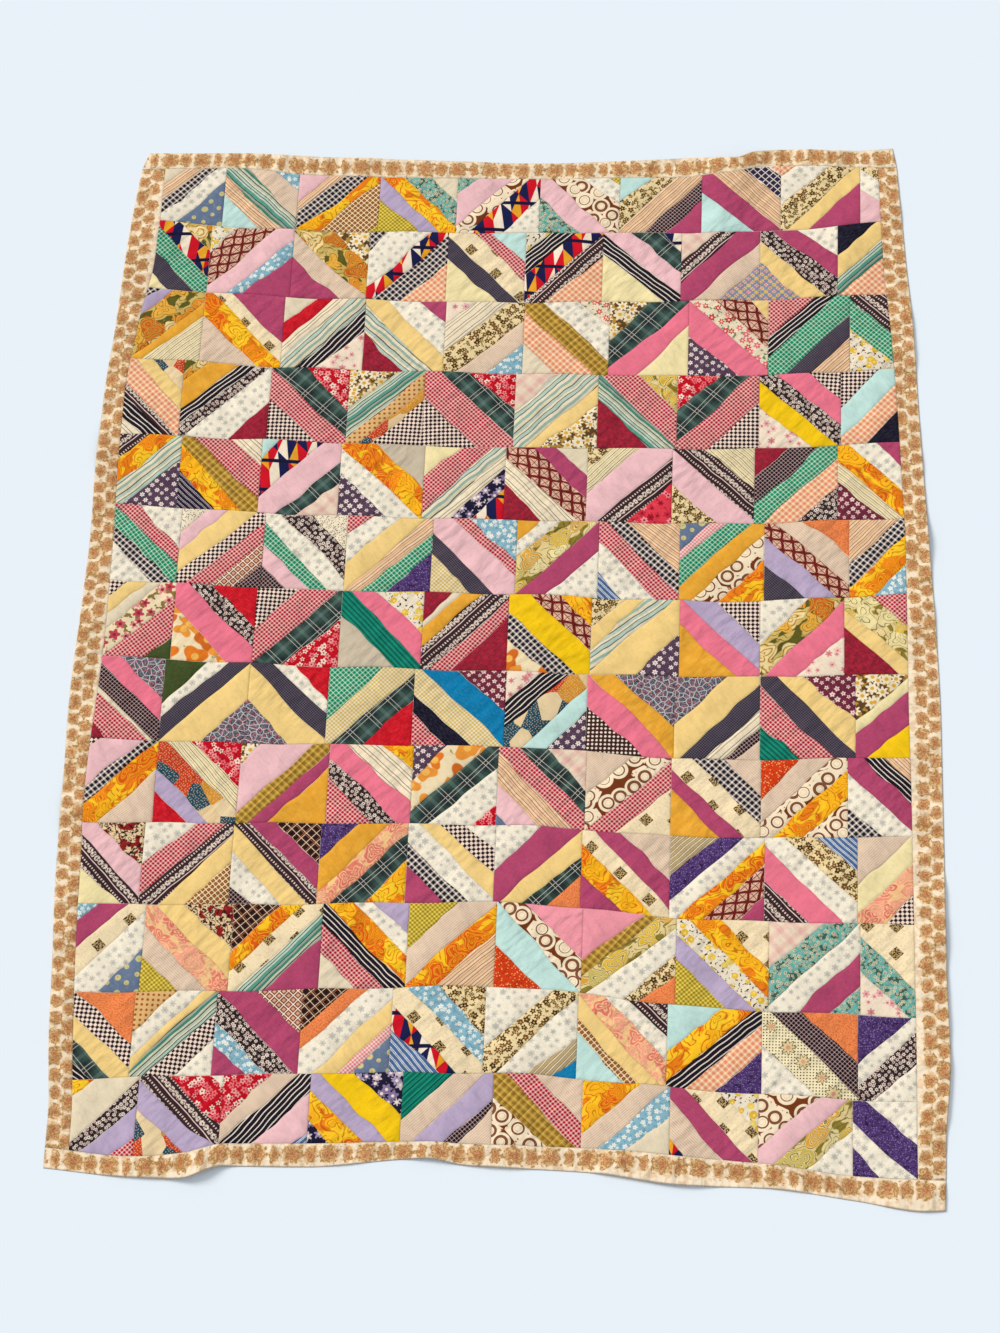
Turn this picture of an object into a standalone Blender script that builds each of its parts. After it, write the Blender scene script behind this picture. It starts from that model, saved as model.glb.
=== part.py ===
"""A patchwork quilt laid flat: a panel of square blocks inside a border of four strips.

Metres, +Z up. The origin is on the surface that the quilt lies on, under the middle of its
outline. +Y runs from the foot of the quilt to its head.

The quilt is drawn on a plan measured in blocks: "across" counts to the right from the panel's
nominal left side, and "down" counts from its nominal top towards the foot.
"""

import math

import bpy
import numpy as np

# Driving dimensions
BLOCK = 0.170
ROWS = 13
COLUMNS = 10
EDGE_THICKNESS = 0.0026
SEAM_THICKNESS = 0.0030
BLOCK_CROWN = 0.0022
BORDER_CROWN = 0.0016
PIECE_GAP = 0.00034

# Facets along one block's side, and across one border strip
BLOCK_STEPS = 3
BORDER_STEPS = 2

# Upright edges and seams. The first column is the row's place, counted in rows from the top of
# the panel: -1 is the head of the quilt and 14 its foot. The others are blocks across.
#    row   outer  inner  seam 1 seam 5 seam 9 inner  outer
ACROSS = np.array([
    (-1.0, 0.13, 0.35, 1.12, 5.17, 9.20, 9.40, 9.61),
    (0.5, 0.02, 0.36, 1.15, 5.18, 9.20, 9.44, 9.69),
    (1.5, -0.04, 0.34, 1.03, 5.02, 8.92, 9.48, 9.76),
    (2.5, -0.08, 0.21, 1.02, 5.05, 9.07, 9.57, 9.85),
    (3.5, -0.14, 0.12, 0.84, 4.95, 8.96, 9.64, 9.90),
    (4.5, -0.15, 0.13, 0.90, 4.90, 8.92, 9.69, 9.96),
    (5.5, -0.13, 0.16, 0.98, 5.06, 9.06, 9.73, 10.02),
    (6.5, -0.15, 0.18, 0.99, 5.02, 9.00, 9.74, 10.08),
    (7.5, -0.18, 0.15, 0.94, 5.01, 9.13, 9.75, 10.12),
    (8.5, -0.15, 0.12, 0.95, 4.99, 9.04, 9.77, 10.13),
    (9.5, -0.13, 0.16, 0.88, 4.99, 9.15, 9.78, 10.14),
    (10.5, -0.07, 0.20, 0.98, 5.04, 9.18, 9.79, 10.15),
    (11.5, -0.01, 0.27, 0.95, 4.95, 9.15, 9.80, 10.18),
    (12.5, 0.07, 0.34, 1.08, 5.09, 9.09, 9.80, 10.12),
    (14.0, 0.08, 0.36, 1.10, 5.10, 9.09, 9.81, 10.10),
])
UPRIGHTS = (-1, 0, 1, 5, 9, 10, 11)

# Level seams between the rows: how far down each one lies at five places across.
LEVEL_STATIONS = (0.2, 2.5, 5.0, 7.5, 9.7)
#    left   quarter middle quarter right
LEVEL_SEAMS = np.array([
    (0.77, 0.93, 0.97, 0.97, 0.81),
    (1.75, 1.92, 1.98, 1.96, 1.85),
    (2.77, 2.93, 3.00, 3.03, 2.93),
    (3.86, 3.96, 4.04, 4.05, 3.95),
    (4.83, 4.97, 5.03, 5.07, 4.99),
    (5.87, 5.98, 6.03, 6.11, 6.00),
    (6.88, 6.99, 7.05, 7.10, 7.05),
    (7.97, 8.01, 8.02, 8.16, 8.11),
    (9.04, 9.02, 9.01, 9.14, 9.10),
    (10.06, 10.03, 9.97, 10.15, 10.18),
    (11.14, 11.08, 10.99, 11.21, 11.28),
    (12.18, 12.08, 12.02, 12.18, 12.28),
])

# Head of the quilt: blocks across, and how far down the turned edge and the panel's top lie.
#    across edge   panel
HEAD = np.array([
    (0.13, -0.25, 0.00),
    (1.20, -0.25, -0.02),
    (2.10, -0.20, 0.08),
    (3.10, -0.15, 0.12),
    (4.10, -0.11, 0.15),
    (5.20, -0.07, 0.17),
    (6.20, -0.10, 0.16),
    (7.15, -0.14, 0.14),
    (7.63, -0.11, 0.10),
    (7.90, -0.22, 0.02),
    (8.20, -0.26, -0.02),
    (9.15, -0.24, 0.01),
    (9.61, -0.27, 0.01),
])

# Foot of the quilt: blocks across, and how far down the panel's end and the turned edge lie.
#    across panel  edge
FOOT = np.array([
    (0.08, 12.98, 13.22),
    (1.10, 13.07, 13.31),
    (1.65, 13.02, 13.32),
    (2.13, 12.90, 13.16),
    (3.05, 12.88, 13.15),
    (4.36, 12.83, 13.03),
    (4.85, 12.85, 13.10),
    (6.15, 12.87, 13.15),
    (7.25, 12.95, 13.28),
    (8.10, 13.01, 13.29),
    (9.10, 13.13, 13.41),
    (9.87, 13.16, 13.52),
    (10.18, 13.16, 13.50),
])

# Low folds that run in from the edges. Each starts at full height at its outer end and dies
# away at its inner end. Places and half widths are in blocks, heights in metres.
#    across down   across down   half   height
FOLDS = (
    (7.74, -0.45, 7.30, 1.30, 0.46, 0.011),
    (1.78, 13.55, 2.05, 11.90, 0.44, 0.012),
    (4.40, 13.30, 4.62, 12.20, 0.40, 0.008),
    (7.30, 13.60, 7.10, 12.30, 0.48, 0.007),
    (-0.35, 4.05, 1.00, 3.95, 0.50, 0.006),
    (-0.35, 8.85, 0.95, 8.95, 0.50, 0.006),
    (10.25, 5.25, 9.00, 5.35, 0.52, 0.006),
    (10.35, 10.45, 9.20, 10.30, 0.50, 0.005),
)

# Node name, first and last upright, first and last level, colour, roughness
PIECES = (
    ("pieced_top", 0, COLUMNS, 0, ROWS, (0.62, 0.42, 0.36), 0.88),
    ("border_top", -1, COLUMNS + 1, -1, 0, (0.78, 0.56, 0.36), 0.86),
    ("border_bottom", -1, COLUMNS + 1, ROWS, ROWS + 1, (0.78, 0.56, 0.36), 0.86),
    ("border_left", -1, 0, 0, ROWS, (0.78, 0.56, 0.36), 0.86),
    ("border_right", COLUMNS, COLUMNS + 1, 0, ROWS, (0.78, 0.56, 0.36), 0.86),
)


def clear_scene():
    for item in list(bpy.data.objects):
        bpy.data.objects.remove(item, do_unlink=True)


def through(stations, values, at):
    """A smooth line through the values at rising stations, which never overshoots them."""
    stations = np.asarray(stations, float)
    values = np.asarray(values, float)
    at = np.clip(at, stations[0], stations[-1])
    steps = np.diff(stations)
    slopes = np.diff(values) / steps
    tangents = np.concatenate([slopes[:1], np.zeros(len(slopes) - 1), slopes[-1:]])
    for i in range(1, len(slopes)):
        if slopes[i - 1] * slopes[i] > 0:
            tangents[i] = 2 * slopes[i - 1] * slopes[i] / (slopes[i - 1] + slopes[i])
    left = np.clip(np.searchsorted(stations, at, side="right") - 1, 0, len(steps) - 1)
    t = (at - stations[left]) / steps[left]
    rise = t * t * (3 - 2 * t)
    start_pull = t * (1 - t) ** 2 * steps[left] * tangents[left]
    end_pull = t * t * (t - 1) * steps[left] * tangents[left + 1]
    return values[left] * (1 - rise) + values[left + 1] * rise + start_pull + end_pull


def level(number, across):
    """How far down a level line lies: -1 is the head's edge, 0 the panel's top, 14 the foot."""
    if number < 0:
        return through(HEAD[:, 0], HEAD[:, 1], across)
    if number == 0:
        return through(HEAD[:, 0], HEAD[:, 2], across)
    if number < ROWS:
        return through(LEVEL_STATIONS, LEVEL_SEAMS[number - 1], across)
    if number == ROWS:
        return through(FOOT[:, 0], FOOT[:, 1], across)
    return through(FOOT[:, 0], FOOT[:, 2], across)


def plan_points(uprights, levels):
    """Across and down, in blocks, where each upright line crosses each level line."""
    across = np.zeros((len(levels), len(uprights)))
    down = np.zeros((len(levels), len(uprights)))
    for i, row in enumerate(levels):
        known = [through(ACROSS[:, 0], ACROSS[:, c + 1], row) for c in range(len(UPRIGHTS))]
        across[i] = np.interp(uprights, UPRIGHTS, known)
        above = min(math.floor(row), ROWS)
        part = row - above
        down[i] = (1 - part) * level(above, across[i]) + part * level(above + 1, across[i])
    return across, down


def lines(first, last, low, high):
    """The lattice lines from first to last, close within the panel and sparser in a border."""
    found = []
    for start in range(first, last):
        steps = BLOCK_STEPS if low <= start < high else BORDER_STEPS
        found += [start + k / steps for k in range(steps)]
    return np.array(found + [last], float)


def fold_lift(across, down):
    """How far the low folds raise the cloth, in metres."""
    lift = np.zeros_like(across)
    for start_across, start_down, end_across, end_down, half, height in FOLDS:
        run = np.array([end_across - start_across, end_down - start_down])
        length = np.linalg.norm(run)
        run = run / length
        along = ((across - start_across) * run[0] + (down - start_down) * run[1]) / length
        aside = ((across - start_across) * run[1] - (down - start_down) * run[0]) / half
        hump = np.where(np.abs(aside) < 1, 0.5 + 0.5 * np.cos(math.pi * aside), 0)
        fade = 0.5 + 0.5 * np.cos(math.pi * np.clip(along, 0, 1))
        lift = np.maximum(lift, height * hump * fade)
    return lift


def thickness(uprights, levels):
    """Cloth thickness over the lattice: thin on seams and edges, thicker within each piece."""
    column, row = np.meshgrid(uprights, levels)
    on_seam = (np.abs(column - np.round(column)) < 1e-6) | (np.abs(row - np.round(row)) < 1e-6)
    in_panel = (column > 0) & (column < COLUMNS) & (row > 0) & (row < ROWS)
    thick = np.where(in_panel, SEAM_THICKNESS + BLOCK_CROWN, EDGE_THICKNESS + BORDER_CROWN)
    thick = np.where(on_seam & in_panel, SEAM_THICKNESS, thick)
    on_panel_edge = ((column == 0) | (column == COLUMNS)) & (row >= 0) & (row <= ROWS)
    on_panel_edge |= ((row == 0) | (row == ROWS)) & (column >= 0) & (column <= COLUMNS)
    thick = np.where(on_panel_edge, SEAM_THICKNESS, thick)
    on_edge = (column == -1) | (column == COLUMNS + 1) | (row == -1) | (row == ROWS + 1)
    return np.where(on_edge, EDGE_THICKNESS, thick)


def middle_of_plan():
    """The middle of the whole outline, in blocks across and down."""
    across, down = plan_points(
        lines(-1, COLUMNS + 1, 0, COLUMNS), lines(-1, ROWS + 1, 0, ROWS)
    )
    return (across.min() + across.max()) / 2, (down.min() + down.max()) / 2


def draw_in(x, y, first, last, top, bottom):
    """Moves the sides that meet a neighbour in by half the gap."""
    half = PIECE_GAP / 2
    if first >= 0:
        x[:, 0] += half
    if last <= COLUMNS:
        x[:, -1] -= half
    if top >= 0:
        y[0] -= half
    if bottom <= ROWS:
        y[-1] += half


def closed_sheet(name, x, y, low, high):
    """A closed mesh between a lower and an upper lattice of points."""
    rows, columns = x.shape
    number = np.arange(rows * columns).reshape(rows, columns)
    below = number + rows * columns
    points = np.concatenate([
        np.stack([x, y, high], axis=-1).reshape(-1, 3),
        np.stack([x, y, low], axis=-1).reshape(-1, 3),
    ])
    faces = []
    for i in range(rows - 1):
        for j in range(columns - 1):
            ring = [(i, j), (i + 1, j), (i + 1, j + 1), (i, j + 1)]
            faces.append([number[k] for k in ring])
            faces.append([below[k] for k in reversed(ring)])
    rim = [(i, 0) for i in range(rows)]
    rim += [(rows - 1, j) for j in range(1, columns)]
    rim += [(i, columns - 1) for i in range(rows - 2, -1, -1)]
    rim += [(0, j) for j in range(columns - 2, 0, -1)]
    for start, end in zip(rim, rim[1:] + rim[:1]):
        faces.append([number[start], below[start], below[end], number[end]])
    mesh = bpy.data.meshes.new(name)
    mesh.from_pydata(points.tolist(), [], [[int(k) for k in face] for face in faces])
    mesh.update()
    return mesh


def cloth_material(name, colour, roughness):
    material = bpy.data.materials.new(name)
    material.use_nodes = True
    shader = material.node_tree.nodes["Principled BSDF"]
    shader.inputs["Base Color"].default_value = (*colour, 1.0)
    shader.inputs["Roughness"].default_value = roughness
    shader.inputs["Metallic"].default_value = 0.0
    return material


def make_piece(name, first, last, top, bottom, colour, roughness, middle):
    """One sewn piece of the quilt as a closed solid, lying where it is sewn."""
    uprights = lines(first, last, 0, COLUMNS)
    levels = lines(top, bottom, 0, ROWS)
    across, down = plan_points(uprights, levels)
    lift = fold_lift(across, down)
    x = (across - middle[0]) * BLOCK
    y = (middle[1] - down) * BLOCK
    draw_in(x, y, first, last, top, bottom)
    mesh = closed_sheet(name, x, y, lift, lift + thickness(uprights, levels))
    mesh.materials.append(cloth_material(name + "_cotton", colour, roughness))
    piece = bpy.data.objects.new(name, mesh)
    bpy.context.scene.collection.objects.link(piece)
    return piece


def main():
    clear_scene()
    middle = middle_of_plan()
    for name, first, last, top, bottom, colour, roughness in PIECES:
        make_piece(name, first, last, top, bottom, colour, roughness, middle)


main()
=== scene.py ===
# %% [markdown]
# # A string-pieced patchwork quilt, laid flat
#
# The quilt is 13 rows of 10 blocks, and each block is sewn from diagonal strips of printed cotton.
# A floral border frames the blocks. This lesson dyes about eighty cottons with shader nodes, draws
# the plan of the seams, and then cuts every block as its own small mesh.

# %% Load the frame
import math

import bpy
import numpy as np
from mathutils import Matrix


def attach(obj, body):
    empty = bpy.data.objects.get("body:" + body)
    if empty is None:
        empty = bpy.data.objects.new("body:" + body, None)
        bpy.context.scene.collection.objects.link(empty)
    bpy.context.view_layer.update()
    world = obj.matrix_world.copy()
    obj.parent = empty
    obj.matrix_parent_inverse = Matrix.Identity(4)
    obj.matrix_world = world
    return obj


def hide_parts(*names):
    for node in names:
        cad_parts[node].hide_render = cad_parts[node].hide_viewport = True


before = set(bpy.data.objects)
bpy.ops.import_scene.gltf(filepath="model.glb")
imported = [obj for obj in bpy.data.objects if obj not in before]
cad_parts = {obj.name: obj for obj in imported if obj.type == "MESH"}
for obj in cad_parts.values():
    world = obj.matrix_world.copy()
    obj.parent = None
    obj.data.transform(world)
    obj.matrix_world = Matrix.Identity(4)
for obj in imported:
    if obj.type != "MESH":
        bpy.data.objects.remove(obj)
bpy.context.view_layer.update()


def put(name, data):
    """A new object in the scene, for a mesh, a camera or a lamp."""
    made = bpy.data.objects.new(name, data)
    bpy.context.scene.collection.objects.link(made)
    return made


# %% [markdown]
# ## The camera
#
# The blocks are square, so their seams in the photo fix where the camera stood: above the foot of
# the quilt, tilted down by about 64 degrees. An aim-at-the-middle constraint would be simpler, but
# it loses the small roll of the real camera. So its three axes are given as a matrix instead.

# %% Camera
CAMERA_RIGHT = (0.99655, 0.04188, -0.07169)
CAMERA_UP = (-0.00748, 0.90524, 0.42483)
CAMERA_BACK = (0.08269, -0.42283, 0.90243)
CAMERA_PLACE = (0.5645, -2.9949, 6.2630)
LENS_MM = 93.17
SENSOR_MM = 36.0

camera_data = bpy.data.cameras.new("quilt_camera")
camera_data.lens = LENS_MM
camera_data.sensor_width = SENSOR_MM
camera = put("quilt_camera", camera_data)
axes = np.array([CAMERA_RIGHT, CAMERA_UP, CAMERA_BACK, CAMERA_PLACE]).T
camera.matrix_world = Matrix(axes.tolist() + [[0, 0, 0, 1]])
bpy.context.scene.camera = camera
print("camera", [round(v, 3) for v in camera.location])

# %% [markdown]
# ## Soft light
#
# The photo has hardly any shadow. A pale world lights the quilt from everywhere, and one very wide
# sun lamp from the upper left gives the seams and creases just enough shade to be read as cloth. A
# sun lights the head and the foot alike, which a nearer lamp wouldn't. The plain Standard view keeps
# the dyed colours as they are written below, where the default view would fade them.

# %% World and lamp
WORLD_COLOUR = (0.93, 0.965, 1.0, 1.0)
WORLD_STRENGTH = 0.60
WINDOW_COLOUR = (1.0, 0.965, 0.91)
WINDOW_STRENGTH = 2.55
WINDOW_WIDTH = math.radians(24)
WINDOW_TURN = (math.radians(-28), math.radians(-52), 0)

world = bpy.data.worlds.new("studio")
bpy.context.scene.world = world
world.use_nodes = True
background = world.node_tree.nodes["Background"]
background.inputs["Color"].default_value = WORLD_COLOUR
background.inputs["Strength"].default_value = WORLD_STRENGTH
bpy.context.scene.view_settings.view_transform = "Standard"

window_data = bpy.data.lights.new("window", "SUN")
window_data.energy = WINDOW_STRENGTH
window_data.angle = WINDOW_WIDTH
window_data.color = WINDOW_COLOUR
window = put("window", window_data)
window.rotation_euler = WINDOW_TURN
print("window light from", [round(v, 2) for v in window.matrix_world.col[2][:3]])

# %% [markdown]
# ## Node helpers
#
# A printed cotton is mostly arithmetic on two numbers: how far along and how far across the cloth a
# point lies. Wiring that by hand hides the idea. The Dye class wraps one socket, so that shader maths
# is written as plain expressions, and a Cloth holds one material and makes all its other nodes.

# %% A socket that takes part in arithmetic
class Dye:
    """One output socket of a cloth's material, which can be added, scaled and compared."""

    def __init__(self, cloth, socket):
        self.cloth = cloth
        self.socket = socket

    def math(self, operation, *others, clamp=False):
        values = dict(enumerate((self, *others)))
        settings = {"operation": operation, "use_clamp": clamp}
        return self.cloth.node("ShaderNodeMath", settings, values)

    def reversed_math(self, operation, first):
        return self.cloth.node("ShaderNodeMath", {"operation": operation}, {0: first, 1: self})

    def __add__(self, other):
        return self.math("ADD", other)

    __radd__ = __add__

    def __sub__(self, other):
        return self.math("SUBTRACT", other)

    def __rsub__(self, other):
        return self.reversed_math("SUBTRACT", other)

    def __mul__(self, other):
        return self.math("MULTIPLY", other)

    __rmul__ = __mul__

    def __truediv__(self, other):
        return self.math("DIVIDE", other)

    def __rtruediv__(self, other):
        return self.reversed_math("DIVIDE", other)

    def also(self, name):
        """Another output of the same node."""
        return Dye(self.cloth, self.socket.node.outputs[name])

    def near(self, pitch):
        """How far away the nearest of a row of lines is, in the same unit as the value."""
        return self.math("PINGPONG", pitch / 2)

    def below(self, limit, soft=0.0005):
        """1 where the value is below the limit and 0 above it, with a soft step between."""
        return self.math("MULTIPLY_ADD", -1 / soft, limit / soft + 0.5, clamp=True)

    def above(self, limit, soft=0.0005):
        return self.math("MULTIPLY_ADD", 1 / soft, 0.5 - limit / soft, clamp=True)

    def off(self, place):
        """How far away one value is."""
        return (self - place).math("ABSOLUTE")

    def and_across(self, other):
        """The straight distance, from one distance along and one across."""
        return (self * self + other * other).math("SQRT")


# %% [markdown]
# Colours are written as the usual hex codes of a paint chart. Blender counts light, not screen
# values, so each code is turned into linear light first.

# %% Hex colours
def light(code):
    """The linear colour of a hex code, as Blender's sockets take it."""
    if not isinstance(code, str):
        return code
    screen = [int(code[k:k + 2], 16) / 255 for k in (1, 3, 5)]
    linear = [v / 12.92 if v < 0.04045 else ((v + 0.055) / 1.055) ** 2.4 for v in screen]
    return (*linear, 1.0)


print("butter yellow in linear light", [round(v, 3) for v in light("#F4D585")])

# %% [markdown]
# ## A cloth
#
# Every mesh below carries a UV map named "cloth" that is measured in metres: u runs along the strip
# and v across it. Object coordinates would print one endless fabric over all the blocks. With a UV
# map each strip gets its own place on the bolt, and the print turns with the strip.

# %% One material and its nodes
DIAGONAL = 0.7071


class Cloth:
    """One cotton: its material, its coordinates in metres, and the nodes that dye it."""

    def __init__(self, name):
        self.material = bpy.data.materials.new(name)
        self.material.use_nodes = True
        self.tree = self.material.node_tree
        self.shader = self.tree.nodes["Principled BSDF"]
        place = self.node("ShaderNodeUVMap", {"uv_map": "cloth"})
        self.u = self.node("ShaderNodeSeparateXYZ", {}, {0: place})
        self.v = self.u.also("Y")

    def node(self, kind, settings=None, sockets=None, output=0):
        """Any node: its settings are set first, then its sockets get values or links."""
        made = self.tree.nodes.new(kind)
        for name, value in (settings or {}).items():
            if name == "stops":
                self.set_stops(made.color_ramp, value)
            else:
                setattr(made, name, value)
        for key, value in (sockets or {}).items():
            if isinstance(value, Dye):
                self.tree.links.new(value.socket, made.inputs[key])
            else:
                made.inputs[key].default_value = value
        return Dye(self, made.outputs[output])

    def set_stops(self, ramp, stops):
        ramp.interpolation = "CONSTANT"
        while len(ramp.elements) < len(stops):
            ramp.elements.new(1.0)
        for element, (place, code) in zip(ramp.elements, stops):
            element.position = place
            element.color = light(code)

    def mix(self, amount, under, over):
        """The colour over laid on the colour under, by an amount from 0 to 1."""
        settings = {"data_type": "RGBA"}
        return self.node("ShaderNodeMix", settings, {0: amount, 6: light(under), 7: light(over)}, 2)

    def layers(self, ground, *printed):
        """The ground with layers printed one over another, each a mask and a colour."""
        for amount, over in printed:
            ground = self.mix(amount, ground, over)
        return ground

    def ramp(self, place, stops):
        """The colour of the last stop that the place has passed."""
        return self.node("ShaderNodeValToRGB", {"stops": stops}, {0: place})

    def pick(self, chance, codes):
        """One of several colours, chosen by a random number."""
        return self.ramp(chance, [(k / len(codes), code) for k, code in enumerate(codes)])

    def place(self, pitch, seed=0.0, stretch=1.0):
        """The point's place on the bolt, counted in pitches."""
        along = self.u.math("MULTIPLY_ADD", 1 / (pitch * stretch), seed * 7.3)
        across = self.v.math("MULTIPLY_ADD", 1 / pitch, seed * 3.1)
        return self.node("ShaderNodeCombineXYZ", {}, {0: along, 1: across})

    def noise(self, pitch, detail=2.0, seed=0.0, stretch=1.0):
        """Soft noise about one pitch across."""
        sockets = {"Vector": self.place(pitch, seed, stretch), "Scale": 1.0, "Detail": detail}
        return self.node("ShaderNodeTexNoise", {"noise_dimensions": "2D"}, sockets)

    def cells(self, pitch, spread=0.8, seed=0.0):
        """Distance to the nearest of many scattered points, in pitches."""
        sockets = {"Vector": self.place(pitch, seed), "Scale": 1.0, "Randomness": spread}
        return self.node("ShaderNodeTexVoronoi", {"voronoi_dimensions": "2D"}, sockets)

    def chance_of(self, cells):
        """A random number for each cell, with a second one on its Green output."""
        return self.node("ShaderNodeSeparateColor", {}, {0: cells.also("Color")})

    def drift(self, size, pitch=0.05):
        """A slow wander to both sides, at most half the size each way."""
        return (self.noise(pitch, 1.0, 4.0) - 0.5) * size

    def slanted(self):
        """The place counted along both diagonals of the cloth."""
        return (self.u + self.v) * DIAGONAL, (self.u - self.v) * DIAGONAL

    def crossing(self, pitch, width, soft, offset=0.0):
        """Masks of two sets of bars, one over each direction of the threads."""
        return [(way + offset).near(pitch).below(width / 2, soft) for way in (self.u, self.v)]

    def vector(self, operation, sockets):
        return self.node("ShaderNodeVectorMath", {"operation": operation}, sockets)

    def feed(self, socket, value):
        self.tree.links.new(value.socket, self.shader.inputs[socket])


# %% [markdown]
# ## What every cotton shares
#
# Washed cotton is matt, a little faded and yellowed, and creased. Its colour also gets painted shade,
# down in its seams and along its creases. These marks are the same on every print, so one function
# adds them to any colour. The painted seam shade comes from a vertex attribute that the meshes carry,
# and creases are also a bump, so that they cost no mesh.

# %% Threads, creases, fading and painted shade
AGED = (1.0, 0.955, 0.90)
THREAD_PITCH = 0.0008
BARE_TONE = 0.85
PATCH_SHADE = 0.25
SLUB_SHADE = 0.08
# Painted shade, as a share of the colour taken away: down in the seams, and along the crease lines
SEAM_SHADE = 0.33
CREASE_SHADE = 0.08

# How high the bump stands: in metres for noise, and as a share of the distance for threads and ribs
THREAD_HEIGHT = 0.06
RIB_HEIGHT = 0.35
PUCKER_HEIGHT = 0.0003
LEAST_CREASE = 0.0016
MORE_CREASE = 0.0048


def finish_cloth(cloth, colour, crease=1.0, rib=0.0):
    """Joins a printed colour to the shader with threads, creases, fading, and painted shade in seams and
    creases.
    """
    # The seam attribute is painted shade, which darkens the colour down in the seams
    seam = cloth.node("ShaderNodeAttribute", {"attribute_name": "seam"}, {}, "Fac")
    patches = cloth.noise(0.045, 3.0, 5.0)
    folds = cloth.noise(0.055, 1.6, 7.0, 0.42)
    slack = cloth.noise(0.10, 1.0, 3.0).above(0.40, 0.20)
    threads = cloth.u.near(THREAD_PITCH) + cloth.v.near(THREAD_PITCH)
    slub = cloth.noise(0.0035, 2.0, 6.0, 6.0)
    # Painted shade: thin darker lines along the fold noise that also raises the crease bump
    crease_shade = folds.near(0.20).below(0.012, 0.022)
    shade = seam * SEAM_SHADE + crease_shade * (CREASE_SHADE * crease)
    tone = BARE_TONE + patches * PATCH_SHADE + slub * SLUB_SHADE - shade
    washed = cloth.vector("SCALE", {0: colour, "Scale": tone})
    cloth.feed("Base Color", cloth.vector("MULTIPLY", {0: washed, 1: AGED}))
    cloth.feed("Roughness", 0.80 + patches * 0.14)
    pucker = cloth.noise(0.009, 1.0, 8.0, 0.6)
    creases = folds * (slack * MORE_CREASE + LEAST_CREASE)
    height = creases * crease + pucker * (PUCKER_HEIGHT * crease) + threads * THREAD_HEIGHT
    if rib:
        height = height + cloth.v.near(rib) * RIB_HEIGHT
    sockets = {"Height": height, "Distance": 1.0, "Strength": 0.9}
    cloth.feed("Normal", cloth.node("ShaderNodeBump", {}, sockets))
    for socket, value in (("Sheen Weight", 0.02), ("Sheen Roughness", 0.6), ("Specular IOR Level", 0.03)):
        cloth.shader.inputs[socket].default_value = value
    return cloth.material


# %% [markdown]
# ## Plain and tweedy cottons
#
# Plain strips carry much of the quilt's colour: plum, rose, butter and pink. A truly flat colour
# would look like paper, so even a plain has slubs, and the tweeds have threads of a second colour.

# %% Plain cottons
def plain(cloth, code, fleck=None, amount=0.0, size=0.0012):
    """One dyed colour, with flecks of another where the yarn was mixed."""
    slub = cloth.noise(0.0022, 2.0, 1.0, 5.0)
    worn = cloth.mix(slub.above(0.56, 0.25) * 0.02, code, "#FFFFFF")
    if fleck is None:
        return worn
    return cloth.mix(cloth.noise(size, 2.0, 2.0).above(0.55, 0.12) * amount, worn, fleck)


def speckled(cloth, code, specks, pitch=0.004):
    """A plain ground with tiny scattered specks of several colours."""
    point = cloth.cells(pitch, 1.0)
    chance = cloth.chance_of(point)
    spot = point.below(0.27, 0.12) * chance.also("Green").above(0.35, 0.05)
    return cloth.mix(spot, code, cloth.pick(chance, specks))


# %% [markdown]
# ## Woven checks
#
# A gingham is two sets of stripes that cross: full colour where both cross, half colour where one
# runs alone. Two square waves averaged give exactly that. Plaids are the same idea with bars of
# several widths.

# %% Ginghams, checks and plaids
def gingham(cloth, dark, pitch, light_yarn="#F7F2EA", share=0.5):
    """Even checks with a half tone where only one set of threads is dyed."""
    warp, weft = cloth.crossing(pitch, pitch * share, pitch * 0.10)
    return cloth.mix((warp + weft) * 0.5, light_yarn, dark)


def checkerboard(cloth, dark, pale, pitch):
    warp, weft = cloth.crossing(pitch, pitch / 2, pitch * 0.08)
    return cloth.mix((warp - weft).math("ABSOLUTE"), dark, pale)


def dotted(cloth, ground, spot, pitch, radius, staggered=False, wobble=0.0):
    """Rows of round spots, straight or staggered."""
    u, v = cloth.slanted() if staggered else (cloth.u, cloth.v)
    away = u.near(pitch).and_across(v.near(pitch))
    if wobble:
        away = away + (cloth.noise(radius * 1.5, 1.0, 3.0) - 0.5) * wobble
    return cloth.mix(away.below(radius, pitch * 0.08), ground, spot)


def plaid(cloth, ground, bars):
    """Crossing bars, each given as pitch, offset, width, colour and strength."""
    printed = []
    for pitch, offset, width, code, strength in bars:
        warp, weft = cloth.crossing(pitch, width, max(width * 0.18, 0.0003), offset)
        both = warp.math("MAXIMUM", weft) if strength >= 0.8 else (warp + weft) * 0.5
        printed.append((both * strength, code))
    return cloth.layers(ground, *printed)


# %% [markdown]
# ## Stripes
#
# A printed stripe is a colour ramp across the cloth, repeated. The strips were torn and eased by
# hand, so the stripe wanders a little along its length instead of running dead straight.

# %% Stripes
def striped(cloth, pitch, stops, wander=0.0012):
    """A repeating ramp of colours across the strip, which wanders along it."""
    across = ((cloth.v + cloth.drift(wander * 4)) / pitch).math("FRACT")
    return cloth.ramp(across, stops)


# %% [markdown]
# ## Flowers
#
# Most of the prints are small flowers scattered over a ground. Voronoi cells scatter the points.
# The angle round each point, put through a cosine, pulls the edge in and out, which makes petals.
# This keeps them crisp at any size, which blurred noise can't do.

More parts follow.
